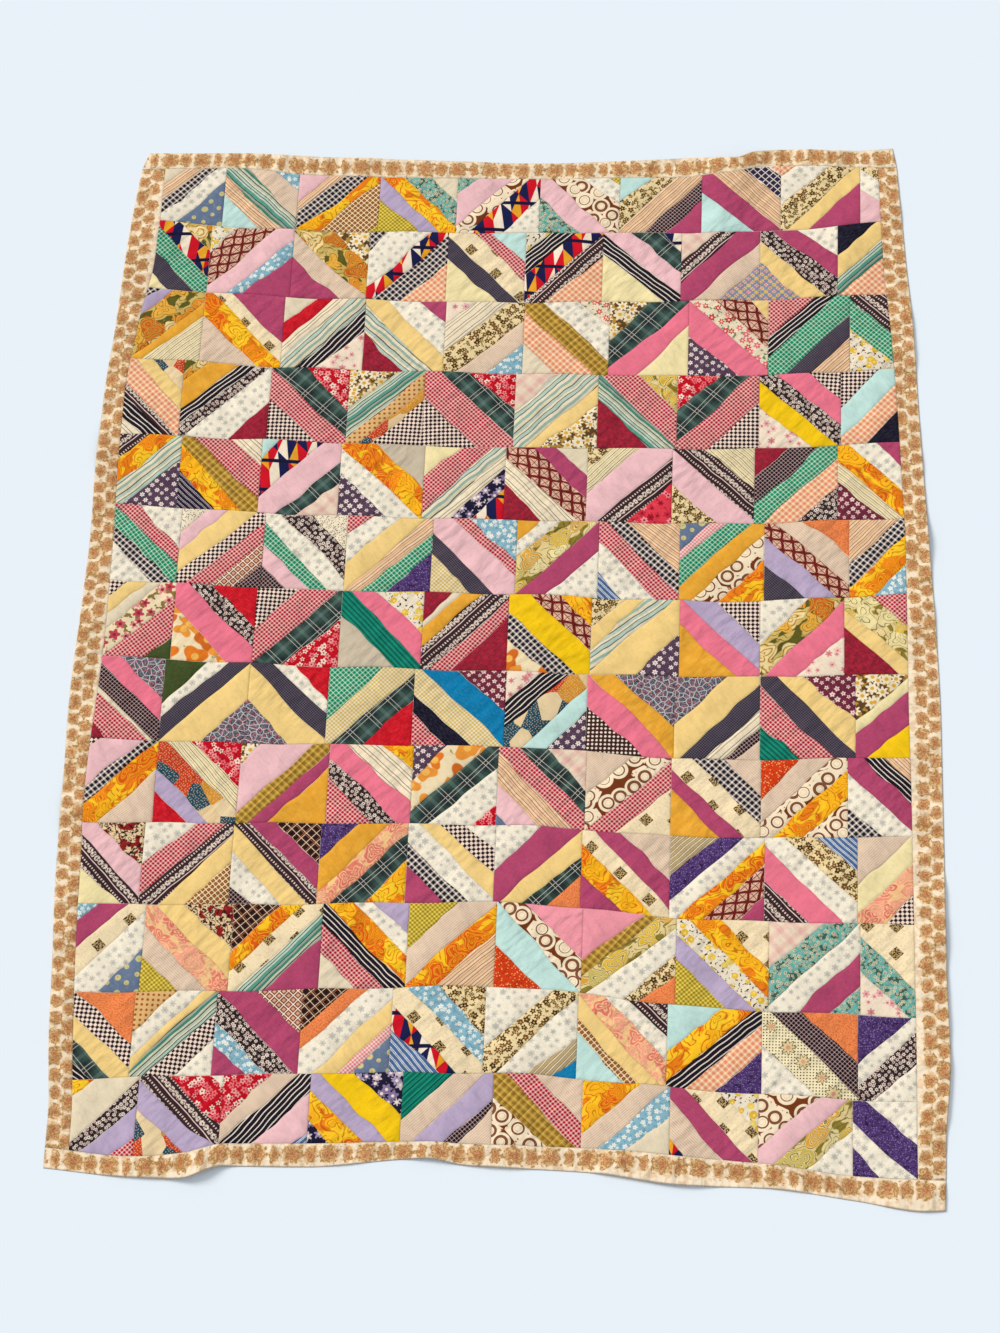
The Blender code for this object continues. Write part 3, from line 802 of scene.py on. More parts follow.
# %% Chart
CHART = """
cream 16, peach_stripe 31, black_check 43, sprig 62, denim_dot
blue_floral 16, tan_stripe 38, teal_stripe 58, peach_stripe 74, aqua
pink 22, peach_stripe 31, black_check 46, orange_floral 60, brown_check 93, lime_check
cream 19, teal_floral 39, orange_floral 55, lavender 72, lime_check
teal_floral 13, pink 38, ring_print 50, geometric 74, sprig
lime_check 7, sprig 24, ring_print 49, pink 71, teal_floral
aqua 21, brown_floral 40, peach_stripe 60, fine_gingham 75, plum
peach_gingham 8, navy_windowpane 25, peach_stripe 46, plum 66, aqua
peach_gingham 9, sprig 31, brown_floral 51, butter 66, plum
brown_floral 22, sprig 52, pink
autumn_floral 24, geometric 46, green_gingham 68, slate_check 87, lemon
twig_print 18, trellis 42, pink 60, blue_floral 71, plum
daisy_print 24, autumn_floral 50, tan_stripe 69, plum
black_check 13, sprig 40, geometric 53, black_check 72, peach_gingham
aqua 22, red_gingham 34, speckled_square 53, slate_check 68, lemon
twig_print 15, black_stripe 31, geometric 50, flower_band 66, peach_gingham
geometric 13, green_plaid 31, pink 48, black_stripe 63, lemon
pink_plaid 22, flower_band 36, plum 58, tan_stripe 74, blue_plaid
sprig 24, plum 40, black_floral 57, butter 73, blue_plaid
navy 30, butter 50, teal_stripe 66, peach_gingham
black_check 9, lavender 21, autumn_floral 53, gold 63, olive_stripe
plum 33, speckled_square 46, orange_floral 66, tan_stripe
cream 19, red 31, cream_stripe 42, green_stripe 58, black_stripe 72, pink_floral
plum 16, sprig 38, butter 55, green_stripe 74, maroon_tweed
pink_floral 18, cream_stripe 38, brown_floral 60, tan_stripe 78, blue_floral
rose_print 18, sprig 40, olive_plaid 57, peach_gingham 80, cream
daisy_print 26, green_plaid 48, rose 67, lemon
butter 12, trellis 33, rose_print 48, rose 71, slate_dot
red_gingham 27, black_stripe 40, green_gingham 62, slate_check 77, peach_stripe
flower_band 35, green_gingham 62, twig_print
ditsy_scraps 24, butter 38, peach_gingham 60, flower_band 69, black_stripe 86, cream_stripe
autumn_floral 14, gold 32, black_stripe 42, black_floral 51, sprig 76, maroon_tweed
red_floral 28, green_plaid 48, red_gingham 71, checkerboard
daisy_print 29, teal_stripe 49, gold_dot 60, ditsy_scraps 68, checkerboard
red_floral 25, green_plaid 43, red_gingham 69, checkerboard
pink_plaid 26, green_stripe 57, butter 68, daisy_print
meadow_print 25, red_gingham 49, teal_stripe 67, maroon_tweed
red_floral 25, green_plaid 45, red_gingham 69, checkerboard
checkerboard 19, rose 38, black_floral 53, sun 70, pink_floral
checkerboard 29, aqua 53, peach_gingham 76, navy
flower_band 20, orange_floral 40, green_stripe 62, slate_dot
cream_stripe 19, red_gingham 42, olive_plaid 58, orange_floral 75, navy_stripe
aqua 12, geometric 39, pink 62, green_plaid 76, pink_plaid
stone 30, orange_floral 52, sprig 71, slate_dot
lemon 22, red_gingham 44, green_stripe 55, cream_stripe 66, navy_floral 80, geometric
cream 19, plum 34, trellis 56, cream_stripe 76, maroon_tweed
brown_floral 14, olive_stripe 31, pink 56, flower_band 73, red_roses
olive_stripe 29, flower_band 49, pink 73, brown_floral
maroon_tweed 20, fine_gingham 38, green_gingham 57, peach_gingham 77, black_floral
plum 17, sprig 36, orange_floral 56, olive_stripe 70, maroon_dot
sprig 29, red_gingham 44, green_gingham 59, black_check 72, sprig
speckle 16, pink 28, butter 44, checkerboard 56, red_gingham 70, tile_print 84, fine_gingham
speckle 23, black_floral 42, sprig 58, green_gingham 71, pink 85, fine_gingham
red_gingham 14, sprig 31, butter 48, peach_stripe 60, green_gingham 74, purple
blue_floral 28, red_gingham 38, pink 61, slate_check 75, yellow_gingham
gold 14, sprig 25, meadow_print 50, plum 69, sprig
peach_stripe 33, black_check 46, red_gingham 64, sprig 84, denim_stripe
denim_dot 18, pink_gingham 26, green_gingham 42, gold 57, ring_print 73, orange_floral
orange 26, tan_stripe 43, trellis 58, lavender 76, slate_check
peach_stripe 35, black_check 53, orange_floral 77, blue_floral
checkerboard 12, butter 25, cream 35, tulip_print 56, red_gingham 83, forest
red 27, black_floral 41, rose 65, poppy_print
checkerboard 26, red_gingham 49, green_plaid 68, red_floral
twig_print 29, rose 46, teal 66, stone
maroon_tweed 18, cream 23, gold 35, flower_band 54, red_gingham 66, maroon_tweed
orange_floral 19, trellis 36, sun 60, black_check 77, poppy_print
brown_floral 19, butter 32, green_stripe 47, butter 74, slate_dot
checkerboard 28, lavender 47, rose 65, gold
sprig 29, autumn_floral 52, rose 73, pink_floral
red_gingham 24, meadow_print 50, butter 64, maroon_tweed
burst_print 29, rose 45, fine_gingham 62, cream 66, red_gingham 90, maroon_tweed
forest 26, sprig 36, slate_check 50, butter 74, burst_print
red 22, sprig 33, slate_check 49, butter 73, burst_print
green_gingham 33, yellow_gingham 53, green_plaid 71, red
maroon_dot 27, blue 48, yellow_gingham 67, navy 80, red_gingham
pink_floral 21, black_stripe 38, ditsy_scraps 60, aqua 75, slate_dot
burst_print 33, gold 50, rose 69, brown_dot
burst_print 30, butter 54, slate_check 69, cream_stripe 80, fine_gingham 87, tan_stripe
maroon_dot 27, butter 44, slate_check 58, red_gingham 79, teal
daisy_print 37, lemon 47, plum 73, sun
checkerboard 6, pink 33, black_check 44, orange_floral 64, tan_stripe
red_floral 29, olive_stripe 44, ditsy_scraps 67, lavender 80, red
daisy_print 12, pink 42, olive_plaid 56, plum 66, gold
orange_floral 17, cream_stripe 38, rose 58, black_floral 71, red_gingham
slate_dot 21, poppy_print 43, green_plaid 62, sprig 86, red_floral
pink_plaid 24, green_plaid 39, red_gingham 55, peach_stripe 75, pink 93, denim_dot
tan_stripe 28, ring_print 51, red_gingham 69, speckled_square
tan_stripe 22, black_check 40, speckled_square 58, plum 71, gold
red_ditsy 24, tan_stripe 41, ring_print 57, orange_floral 75, ring_print
peach_stripe 18, black_stripe 33, plum 54, sprig 78, black_check
branch_print 32, pink 52, flower_band 72, lemon
sprig 27, red_gingham 45, flower_band 59, butter 75, brown_check
brown_plaid 26, plum 41, flower_band 53, butter 69, sprig 88, fine_gingham
purple 22, gold 41, coral_floral 57, green_plaid 75, orange_floral
sprig 17, checkerboard 32, butter 46, sprig 63, black_check 77, plum
sprig 28, plum 52, butter 67, green_plaid 80, orange
tan_stripe 28, plum 44, speckled_square 59, orange_floral 77, plum
gold_stripe 25, purple 39, sprig 53, orange_floral 67, trellis 86, plum
denim_stripe 21, brown_floral 39, sprig 56, rose 76, flower_band
tan_stripe 36, lemon 56, coral_floral 80, checkerboard
blue_floral 12, plum 30, speckled_square 47, sprig 72, denim_dot
branch_print 27, butter 44, coral_floral 62, tan_stripe 79, lime_check
brown_plaid 27, orange_floral 39, speckled_square 54, teal_stripe 70, plum
lavender 20, sprig 32, orange_floral 48, black_stripe 62, red_gingham 79, cream
lime_check 28, tan_stripe 50, orange_floral 68, peach_stripe
dusty_tweed 32, ring_print 50, aqua 74, red_ditsy
dusty_tweed 32, olive_plaid 40, meadow_print 54, sprig 72, brown_floral 82, orange
speckled_square 27, orange_floral 43, twig_print 58, lavender 73, lime_check
pink_plaid 28, teal_floral 48, sprig 66, plum 84, teal_floral
speckled_square 45, teal_floral 69, pink_floral
orange 38, checkerboard 55, butter 73, green_plaid 88, black_stripe
gold_dot 25, sprig 40, butter 48, teal_stripe 61, checkerboard 78, sprig
tile_print 27, plum 51, black_floral 68, blue_floral 81, plum
brown_plaid 25, orange 36, sprig 57, butter 71, pink_gingham 79, denim_dot
brown_floral 27, blue_floral 44, speckled_square 62, geometric 74, denim_stripe
sprig 36, brown_floral 55, sprig 75, gold_stripe 88, blue
flower_band 21, sprig 35, coral_floral 52, butter 65, brown_check 73, aqua
aqua 29, orange_floral 46, black_stripe 59, peach_gingham 75, purple
orange 29, fine_gingham 47, medallion_print 71, sprig
purple 36, sprig 50, black_floral 72, sprig
orange_floral 14, cream 48, black_floral 63, lavender 85, red_gingham
sprig 8, red_floral 34, flower_band 52, lavender 70, ditsy_scraps
red_floral 31, tan_stripe 46, black_stripe 66, pink 92, denim_stripe
navy_floral 29, sun 51, lavender 66, orange_floral 86, navy_floral
teal 31, tan_stripe 51, lavender 71, fine_gingham 78, tan_stripe
tan_stripe 29, red_gingham 48, olive_plaid 68, ring_print
orange_floral 36, tan_stripe 55, blue_floral 74, cream
twig_print 25, speckled_square 47, plum 65, tan_stripe 90, geometric
ring_print 36, pink 53, meadow_print 73, sprig
sprig 33, purple 58, sprig 80, purple
"""


def read_chart(text):
    """For each block, its cottons and the places where they end."""
    found = []
    for line in text.strip().splitlines():
        strips = [part.split() for part in line.split(", ")]
        ends = [int(strip[1]) / 100 for strip in strips[:-1]]
        found.append(([strip[0] for strip in strips], ends))
    return found


chart = read_chart(CHART)
print(len(chart), "blocks,", sum(len(names) for names, ends in chart), "strips")

# %% [markdown]
# ## The plan of the seams
#
# All cloth is placed on one plan, counted in blocks: "across" to the right and "down" to the foot.
# The rows were sewn one by one and then joined, so the upright seams of one row don't meet those of
# the next. The outline is wavy. These tables hold the seams, and a smooth line runs through each.

# %% Sizes and seam tables
BLOCK = 0.170
ROWS = 13
COLUMNS = 10
MIDDLE_ACROSS = 5.0
MIDDLE_DOWN = 6.625

# Where each row's upright seams lie, in blocks across
UPRIGHT_SEAMS = (
    (0.36, 1.15, 2.10, 3.14, 4.13, 5.18, 6.19, 7.22, 8.21, 9.20, 9.42),
    (0.34, 1.03, 2.09, 3.05, 4.05, 5.03, 6.00, 6.98, 7.96, 8.92, 9.48),
    (0.21, 1.02, 2.04, 3.06, 4.07, 5.05, 6.11, 7.09, 8.07, 9.07, 9.57),
    (0.10, 0.84, 1.94, 2.92, 3.86, 4.98, 6.00, 6.97, 7.97, 8.96, 9.64),
    (0.12, 0.90, 1.90, 2.88, 3.91, 4.90, 5.90, 6.93, 7.92, 8.92, 9.69),
    (0.17, 0.98, 2.01, 3.02, 4.06, 5.08, 6.07, 7.04, 8.05, 9.06, 9.73),
    (0.19, 0.99, 1.98, 3.01, 4.00, 5.02, 6.01, 7.06, 8.01, 9.00, 9.73),
    (0.15, 0.94, 1.97, 2.92, 3.94, 5.03, 5.99, 7.02, 8.02, 9.13, 9.74),
    (0.11, 0.95, 1.94, 2.99, 3.98, 4.98, 6.01, 7.00, 8.04, 9.04, 9.77),
    (0.16, 0.88, 1.93, 2.95, 3.97, 4.99, 5.99, 7.01, 8.09, 9.15, 9.78),
    (0.21, 0.98, 2.00, 3.04, 4.03, 5.04, 6.03, 7.10, 8.15, 9.18, 9.79),
    (0.27, 0.95, 1.89, 2.87, 3.90, 4.96, 6.01, 7.02, 8.08, 9.15, 9.79),
    (0.35, 1.08, 2.04, 3.03, 4.07, 5.09, 6.09, 7.07, 8.05, 9.09, 9.76),
)

# The border's outer and inner sides: place in rows, then blocks across
#    row   outer  inner  inner  outer
SIDES = np.array([
    (-1.0, 0.13, 0.35, 9.40, 9.61),
    (0.5, 0.02, 0.36, 9.44, 9.69),
    (1.5, -0.04, 0.34, 9.48, 9.76),
    (2.5, -0.08, 0.21, 9.57, 9.85),
    (3.5, -0.14, 0.12, 9.64, 9.90),
    (4.5, -0.15, 0.13, 9.69, 9.96),
    (5.5, -0.13, 0.16, 9.73, 10.02),
    (6.5, -0.15, 0.18, 9.74, 10.08),
    (7.5, -0.18, 0.15, 9.75, 10.12),
    (8.5, -0.15, 0.12, 9.77, 10.13),
    (9.5, -0.13, 0.16, 9.78, 10.14),
    (10.5, -0.07, 0.20, 9.79, 10.15),
    (11.5, -0.01, 0.27, 9.80, 10.18),
    (12.5, 0.07, 0.34, 9.80, 10.12),
    (14.0, 0.08, 0.36, 9.81, 10.10),
])

# Level seams between the rows, at five places across
LEVEL_STATIONS = (0.2, 2.5, 5.0, 7.5, 9.7)
LEVEL_SEAMS = np.array([
    (0.77, 0.93, 0.97, 0.97, 0.81),
    (1.75, 1.92, 1.98, 1.96, 1.85),
    (2.77, 2.93, 3.00, 3.03, 2.93),
    (3.86, 3.96, 4.04, 4.05, 3.95),
    (4.83, 4.97, 5.03, 5.07, 4.99),
    (5.87, 5.98, 6.03, 6.11, 6.00),
    (6.88, 6.99, 7.05, 7.10, 7.05),
    (7.97, 8.01, 8.02, 8.16, 8.11),
    (9.04, 9.02, 9.01, 9.14, 9.10),
    (10.06, 10.03, 9.97, 10.15, 10.18),
    (11.14, 11.08, 10.99, 11.21, 11.28),
    (12.18, 12.08, 12.02, 12.18, 12.28),
])

# Head: across, turned edge, panel's top. Foot: across, panel's end, turned edge.
HEAD = np.array([
    (0.13, -0.25, 0.00), (1.20, -0.25, -0.02), (2.10, -0.20, 0.08), (3.10, -0.15, 0.12),
    (4.10, -0.11, 0.15), (5.20, -0.07, 0.17), (6.20, -0.10, 0.16), (7.15, -0.14, 0.14),
    (7.63, -0.11, 0.10), (7.90, -0.22, 0.02), (8.20, -0.26, -0.02), (9.15, -0.24, 0.01),
    (9.61, -0.27, 0.01),
])
FOOT = np.array([
    (0.08, 12.98, 13.22), (1.10, 13.07, 13.31), (1.65, 13.02, 13.32), (2.13, 12.90, 13.16),
    (3.05, 12.88, 13.15), (4.36, 12.83, 13.03), (4.85, 12.85, 13.10), (6.15, 12.87, 13.15),
    (7.25, 12.95, 13.28), (8.10, 13.01, 13.29), (9.10, 13.13, 13.41), (9.87, 13.16, 13.52),
    (10.18, 13.16, 13.50),
])

# Low folds that run in from the edges: start, end, half width in blocks, height in metres
FOLDS = (
    (7.74, -0.45, 7.30, 1.30, 0.46, 0.011),
    (1.78, 13.55, 2.05, 11.90, 0.44, 0.012),
    (4.40, 13.30, 4.62, 12.20, 0.40, 0.008),
    (7.30, 13.60, 7.10, 12.30, 0.48, 0.007),
    (-0.35, 4.05, 1.00, 3.95, 0.50, 0.006),
    (-0.35, 8.85, 0.95, 8.95, 0.50, 0.006),
    (10.25, 5.25, 9.00, 5.35, 0.52, 0.006),
    (10.35, 10.45, 9.20, 10.30, 0.50, 0.005),
)


# %% Smooth lines through the tables
def through(stations, values, at):
    """A smooth line through the values at rising stations, which never overshoots them."""
    stations = np.asarray(stations, float)
    values = np.asarray(values, float)
    at = np.clip(at, stations[0], stations[-1])
    steps = np.diff(stations)
    slopes = np.diff(values) / steps
    tangents = np.concatenate([slopes[:1], np.zeros(len(slopes) - 1), slopes[-1:]])
    for i in range(1, len(slopes)):
        if slopes[i - 1] * slopes[i] > 0:
            tangents[i] = 2 * slopes[i - 1] * slopes[i] / (slopes[i - 1] + slopes[i])
    left = np.clip(np.searchsorted(stations, at, side="right") - 1, 0, len(steps) - 1)
    t = (at - stations[left]) / steps[left]
    rise = t * t * (3 - 2 * t)
    start_pull = t * (1 - t) ** 2 * steps[left] * tangents[left]
    end_pull = t * t * (t - 1) * steps[left] * tangents[left + 1]
    return values[left] * (1 - rise) + values[left + 1] * rise + start_pull + end_pull


def level(number, across):
    """How far down a level line lies: -1 is the head's edge, 0 the panel's top, 14 the foot."""
    if 0 < number < ROWS:
        straight = through(LEVEL_STATIONS, LEVEL_SEAMS[number - 1], across)
        return straight + 0.010 * np.sin(across * 4.3 + number * 2.1)
    outer_lines = {-1: (HEAD, 1), 0: (HEAD, 2), ROWS: (FOOT, 1), ROWS + 1: (FOOT, 2)}
    table, column = outer_lines[number]
    return through(table[:, 0], table[:, column], across)


def side(which, row):
    """How far across one side line lies: 1 outer left, 2 inner left, 3 inner right, 4 outer."""
    return through(SIDES[:, 0], SIDES[:, which], row)


def fold_lift(across, down):
    """How far the low folds raise the cloth, in metres."""
    lift = np.zeros_like(across)
    for start_across, start_down, end_across, end_down, half, height in FOLDS:
        run = np.array([end_across - start_across, end_down - start_down])
        length = np.linalg.norm(run)
        run = run / length
        along = ((across - start_across) * run[0] + (down - start_down) * run[1]) / length
        aside = ((across - start_across) * run[1] - (down - start_down) * run[0]) / half
        hump = np.where(np.abs(aside) < 1, 0.5 + 0.5 * np.cos(math.pi * aside), 0)
        fade = 0.5 + 0.5 * np.cos(math.pi * np.clip(along, 0, 1))
        lift = np.maximum(lift, height * hump * fade)
    return lift


def to_metres(across, down):
    return (across - MIDDLE_ACROSS) * BLOCK, (MIDDLE_DOWN - down) * BLOCK


print("panel's top seam in the middle, blocks down", round(float(level(0, 5.0)), 3))

# %% [markdown]
# ## How the cloth lies
#
# A quilt that is laid down by hand is never flat. Besides the folds there are low ripples, a few
# tenths of a block long. They are a sum of waves with seeded directions, and because the height is
# a function of the place alone, two blocks that meet at a seam always agree.

# %% Ripples
SEAM_HEIGHT = 0.0024
STEEPNESS = 0.0022
LOWEST_RIPPLE = -0.0011
HIGHEST_RIPPLE = 0.004
WAVE_COUNT = 16

chance = np.random.default_rng(13)
turns = chance.uniform(0, math.pi, WAVE_COUNT)
lengths = chance.uniform(0.055, 0.30, WAVE_COUNT)
phases = chance.uniform(0, 6.28, WAVE_COUNT)


def lie(x, y):
    """The height of the seams over the surface that the quilt lies on, in metres."""
    across = x / BLOCK + MIDDLE_ACROSS
    down = MIDDLE_DOWN - y / BLOCK
    ripple = np.zeros_like(x)
    for turn, length, phase in zip(turns, lengths, phases):
        place = x * (math.cos(turn) / length) + y * (math.sin(turn) / length)
        ripple += STEEPNESS * length * np.sin(2 * math.pi * place + phase)
    near_edge = np.minimum(np.minimum(across + 0.2, 10.2 - across), np.minimum(down + 0.3, 13.6 - down))
    ripple = ripple * (1 + 1.2 * np.exp(-np.clip(near_edge, 0, 9) / 0.8))
    return fold_lift(across, down) + SEAM_HEIGHT + np.clip(ripple, LOWEST_RIPPLE, HIGHEST_RIPPLE)


x_trial, y_trial = np.meshgrid(np.linspace(-0.8, 0.8, 60), np.linspace(-1.1, 1.1, 80))
trial = lie(x_trial, y_trial)
print("seams lie from", trial.min().round(4), "to", trial.max().round(4))

# %% [markdown]
# ## A mesh with its own cloth coordinates
#
# Blocks and borders are all lattices of points, so one function turns a lattice into a mesh. It adds
# a short skirt that hides the gap to the backing, stores how near each point is to a seam as a mark
# for painted shade, and writes two UV maps: "cloth" in metres for the prints, and "OFBake", which
# spreads the piece over a unit square for any picture that is baked from it.

# %% Lattice to mesh
SKIRT = 0.0018
SKIRT_GAP = 0.0002
PUFF_WIDTH = 0.008
DITCH_WIDTH = 0.0012


def rim_of(number):
    """The numbers of a lattice's outer points, in order round it."""
    return np.concatenate([number[:, 0], number[-1, 1:], number[-2::-1, -1], number[0, -2:0:-1]])


def lattice_faces(number):
    quads = np.stack([number[:-1, :-1], number[1:, :-1], number[1:, 1:], number[:-1, 1:]], -1)
    return quads.reshape(-1, 4)


def smooth_mesh(name, points, faces):
    mesh = bpy.data.meshes.new(name)
    mesh.from_pydata(points.tolist(), [], faces.tolist())
    mesh.polygons.foreach_set("use_smooth", np.ones(len(faces), bool))
    return mesh


def add_map(mesh, name, places):
    """A UV map, from one place for each corner of each face."""
    made = mesh.uv_layers.new(name=name)
    made.data.foreach_set("uv", places.astype(np.float32).ravel())


def sew_piece(name, x, y, z, marks, faces_cloth, spread, materials, strip_of_line):
    """A mesh from a lattice. faces_cloth gives u and v for the lattice as each strip sees it."""
    line_count, point_count = x.shape
    number = np.arange(x.size).reshape(x.shape)
    quads = lattice_faces(number)
    rim = rim_of(number)
    top = np.stack([x, y, z], -1).reshape(-1, 3)
    hem = top[rim]
    foot = hem.copy()
    floor_under = fold_lift(hem[:, 0] / BLOCK + MIDDLE_ACROSS, MIDDLE_DOWN - hem[:, 1] / BLOCK)
    foot[:, 2] = np.maximum(hem[:, 2] - SKIRT, floor_under + SKIRT_GAP)
    here = len(top) + np.arange(len(rim))
    after = np.roll(here, -1)
    skirt = np.stack([here, here + len(rim), after + len(rim), after], -1)
    rise = np.cross(top[quads[:, 1]] - top[quads[:, 0]], top[quads[:, 3]] - top[quads[:, 0]])
    if rise[:, 2].sum() < 0:
        quads = quads[:, ::-1]
        skirt = skirt[:, ::-1]
    faces = np.concatenate([quads, skirt])
    rim_strip = strip_of_line[np.clip(rim // point_count, 0, line_count - 2)]
    face_strip = np.concatenate([np.repeat(strip_of_line, point_count - 1), rim_strip])

    mesh = smooth_mesh(name, np.concatenate([top, hem, foot]), faces)
    for material in materials:
        mesh.materials.append(material)
    mesh.polygons.foreach_set("material_index", face_strip.astype(np.int32))
    source = np.concatenate([np.arange(len(top)), rim, rim])
    corners = source[faces]
    add_map(mesh, "cloth", np.stack(faces_cloth(corners, face_strip[:, None]), -1))
    add_map(mesh, "OFBake", spread.reshape(-1, 2)[corners])
    for mark, values in marks.items():
        store = mesh.attributes.new(mark, "FLOAT", "POINT")
        store.data.foreach_set("value", values.reshape(-1)[source].astype(np.float32))
    return put(name, mesh)


def puff(off_seam, height, ditch):
    """How far cloth rises softly beside a seam, and dips into the ditch right at it."""
    return height * (1 - np.exp(-off_seam / PUFF_WIDTH)) - ditch * np.exp(-off_seam / DITCH_WIDTH)


# %% [markdown]
# ## Strips inside a block
#
# A strip seam runs at 45 degrees from one side of the block to another. The lattice's lines follow
# the seams, so every seam is a row of edges and each strip is a clean band of faces. The lines sit
# closer together beside a seam, where the cloth dips into the ditch that the stitches pull down.

# %% Seams of one block
TILT = 0.018
NARROWEST = 0.012
CORNER_GAP = 0.0005


def seam_ends(ends, chance_here):
    """The strips' ends, tilted a little, at the first and at the last side of the block."""
    tilt = chance_here.uniform(-TILT, TILT, len(ends))
    sides = []
    for tilted in (np.array(ends) - tilt, np.array(ends) + tilt):
        places = np.concatenate([[CORNER_GAP], tilted, [1 - CORNER_GAP]])
        for k in range(1, len(places) - 1):
            places[k] = max(places[k], places[k - 1] + NARROWEST)
        for k in range(len(places) - 2, 0, -1):
            places[k] = min(places[k], places[k + 1] - NARROWEST)
        sides.append(places)
    return sides


def lines_across(first, last, tall, wide):
    """Places of the lattice's lines, counted in strips, with one line at each side corner."""
    places = []
    metres = (tall + wide) * BLOCK / math.sqrt(2)
    for k in range(len(first) - 1):
        width = max((first[k + 1] - first[k] + last[k + 1] - last[k]) / 2 * metres, 0.004)
        close = np.array([0.0, 0.0012, 0.0034, 0.0080]) / width
        close = close[close < 0.42]
        inside = np.linspace(close[-1], 1 - close[-1], 4)[1:-1]
        places += list(k + np.concatenate([close, inside, 1 - close[:0:-1]]))
    places.append(len(first) - 1.0)
    strips = np.arange(len(first))
    total = tall + wide
    places.append(float(np.interp(tall / total, first, strips)))
    places.append(float(np.interp(wide / total, last, strips)))
    places = np.sort(np.array(places))
    keep = np.concatenate([[True], np.diff(places) > 1e-6])
    return places[keep]


# %% [markdown]
# Each block is then laid out in a plain rectangle first, and bent into the real seams after that:
# its sides follow the row's upright seams, and its top and bottom the level seams.

# %% Lines of one block
POINTS_ALONG = 38
ALONG = 0.5 - 0.5 * np.cos(math.pi * np.linspace(0, 1, POINTS_ALONG))

# How the seams waver: half waves along a seam, and their size in blocks
SWAYS = ((1, 0.013), (2, 0.010), (4, 0.006), (6, 0.0035))
SWAY_EACH_WAY = 0.707


def lay_lines(start, stop, tall, wide):
    """Points on the lines between two sides of a rectangle, and how long each line is."""
    start_x = np.where(start <= tall, 0.0, start - tall)
    start_y = np.where(start <= tall, start, tall)
    stop_x = np.where(stop <= wide, stop, wide)
    stop_y = np.where(stop <= wide, 0.0, stop - wide)
    right = start_x[:, None] + (stop_x - start_x)[:, None] * ALONG[None, :]
    below = start_y[:, None] + (stop_y - start_y)[:, None] * ALONG[None, :]
    return right, below, np.hypot(stop_x - start_x, stop_y - start_y)


def waver(places, strips, run, chance_here):
    """How far the seams waver, though not at their ends or at the block's corners."""
    sway = np.zeros((len(places), POINTS_ALONG))
    for waves, size in SWAYS:
        height = np.interp(places, strips, chance_here.normal(0, size, len(strips)))
        phase = np.interp(places, strips, chance_here.uniform(0, 3, len(strips)))
        sway += height[:, None] * np.sin(math.pi * waves * ALONG[None, :] + phase[:, None])
    sway *= (np.sin(math.pi * ALONG)[None, :] ** 0.7) * np.clip(run / 0.9, 0, 1)[:, None]
    at_end = np.minimum(places, len(strips) - 1 - places)
    return sway * np.clip(at_end / 0.8, 0, 1)[:, None]


def off_strip_seam(places, first, total):
    """How far each line is from the nearest strip seam, in metres."""
    part = places - np.floor(np.clip(places, 0, len(first) - 1.001))
    which = np.clip(np.floor(places).astype(int), 0, len(first) - 2)
    width_here = (first[which + 1] - first[which]) * total * BLOCK / math.sqrt(2)
    return np.minimum(part, 1 - part) * width_here


# %% [markdown]
# The mirrored blocks are cut from the same layout, turned left to right. Each strip gets its own
# place and a slight turn on the bolt, as strips that were torn from larger scraps would have.

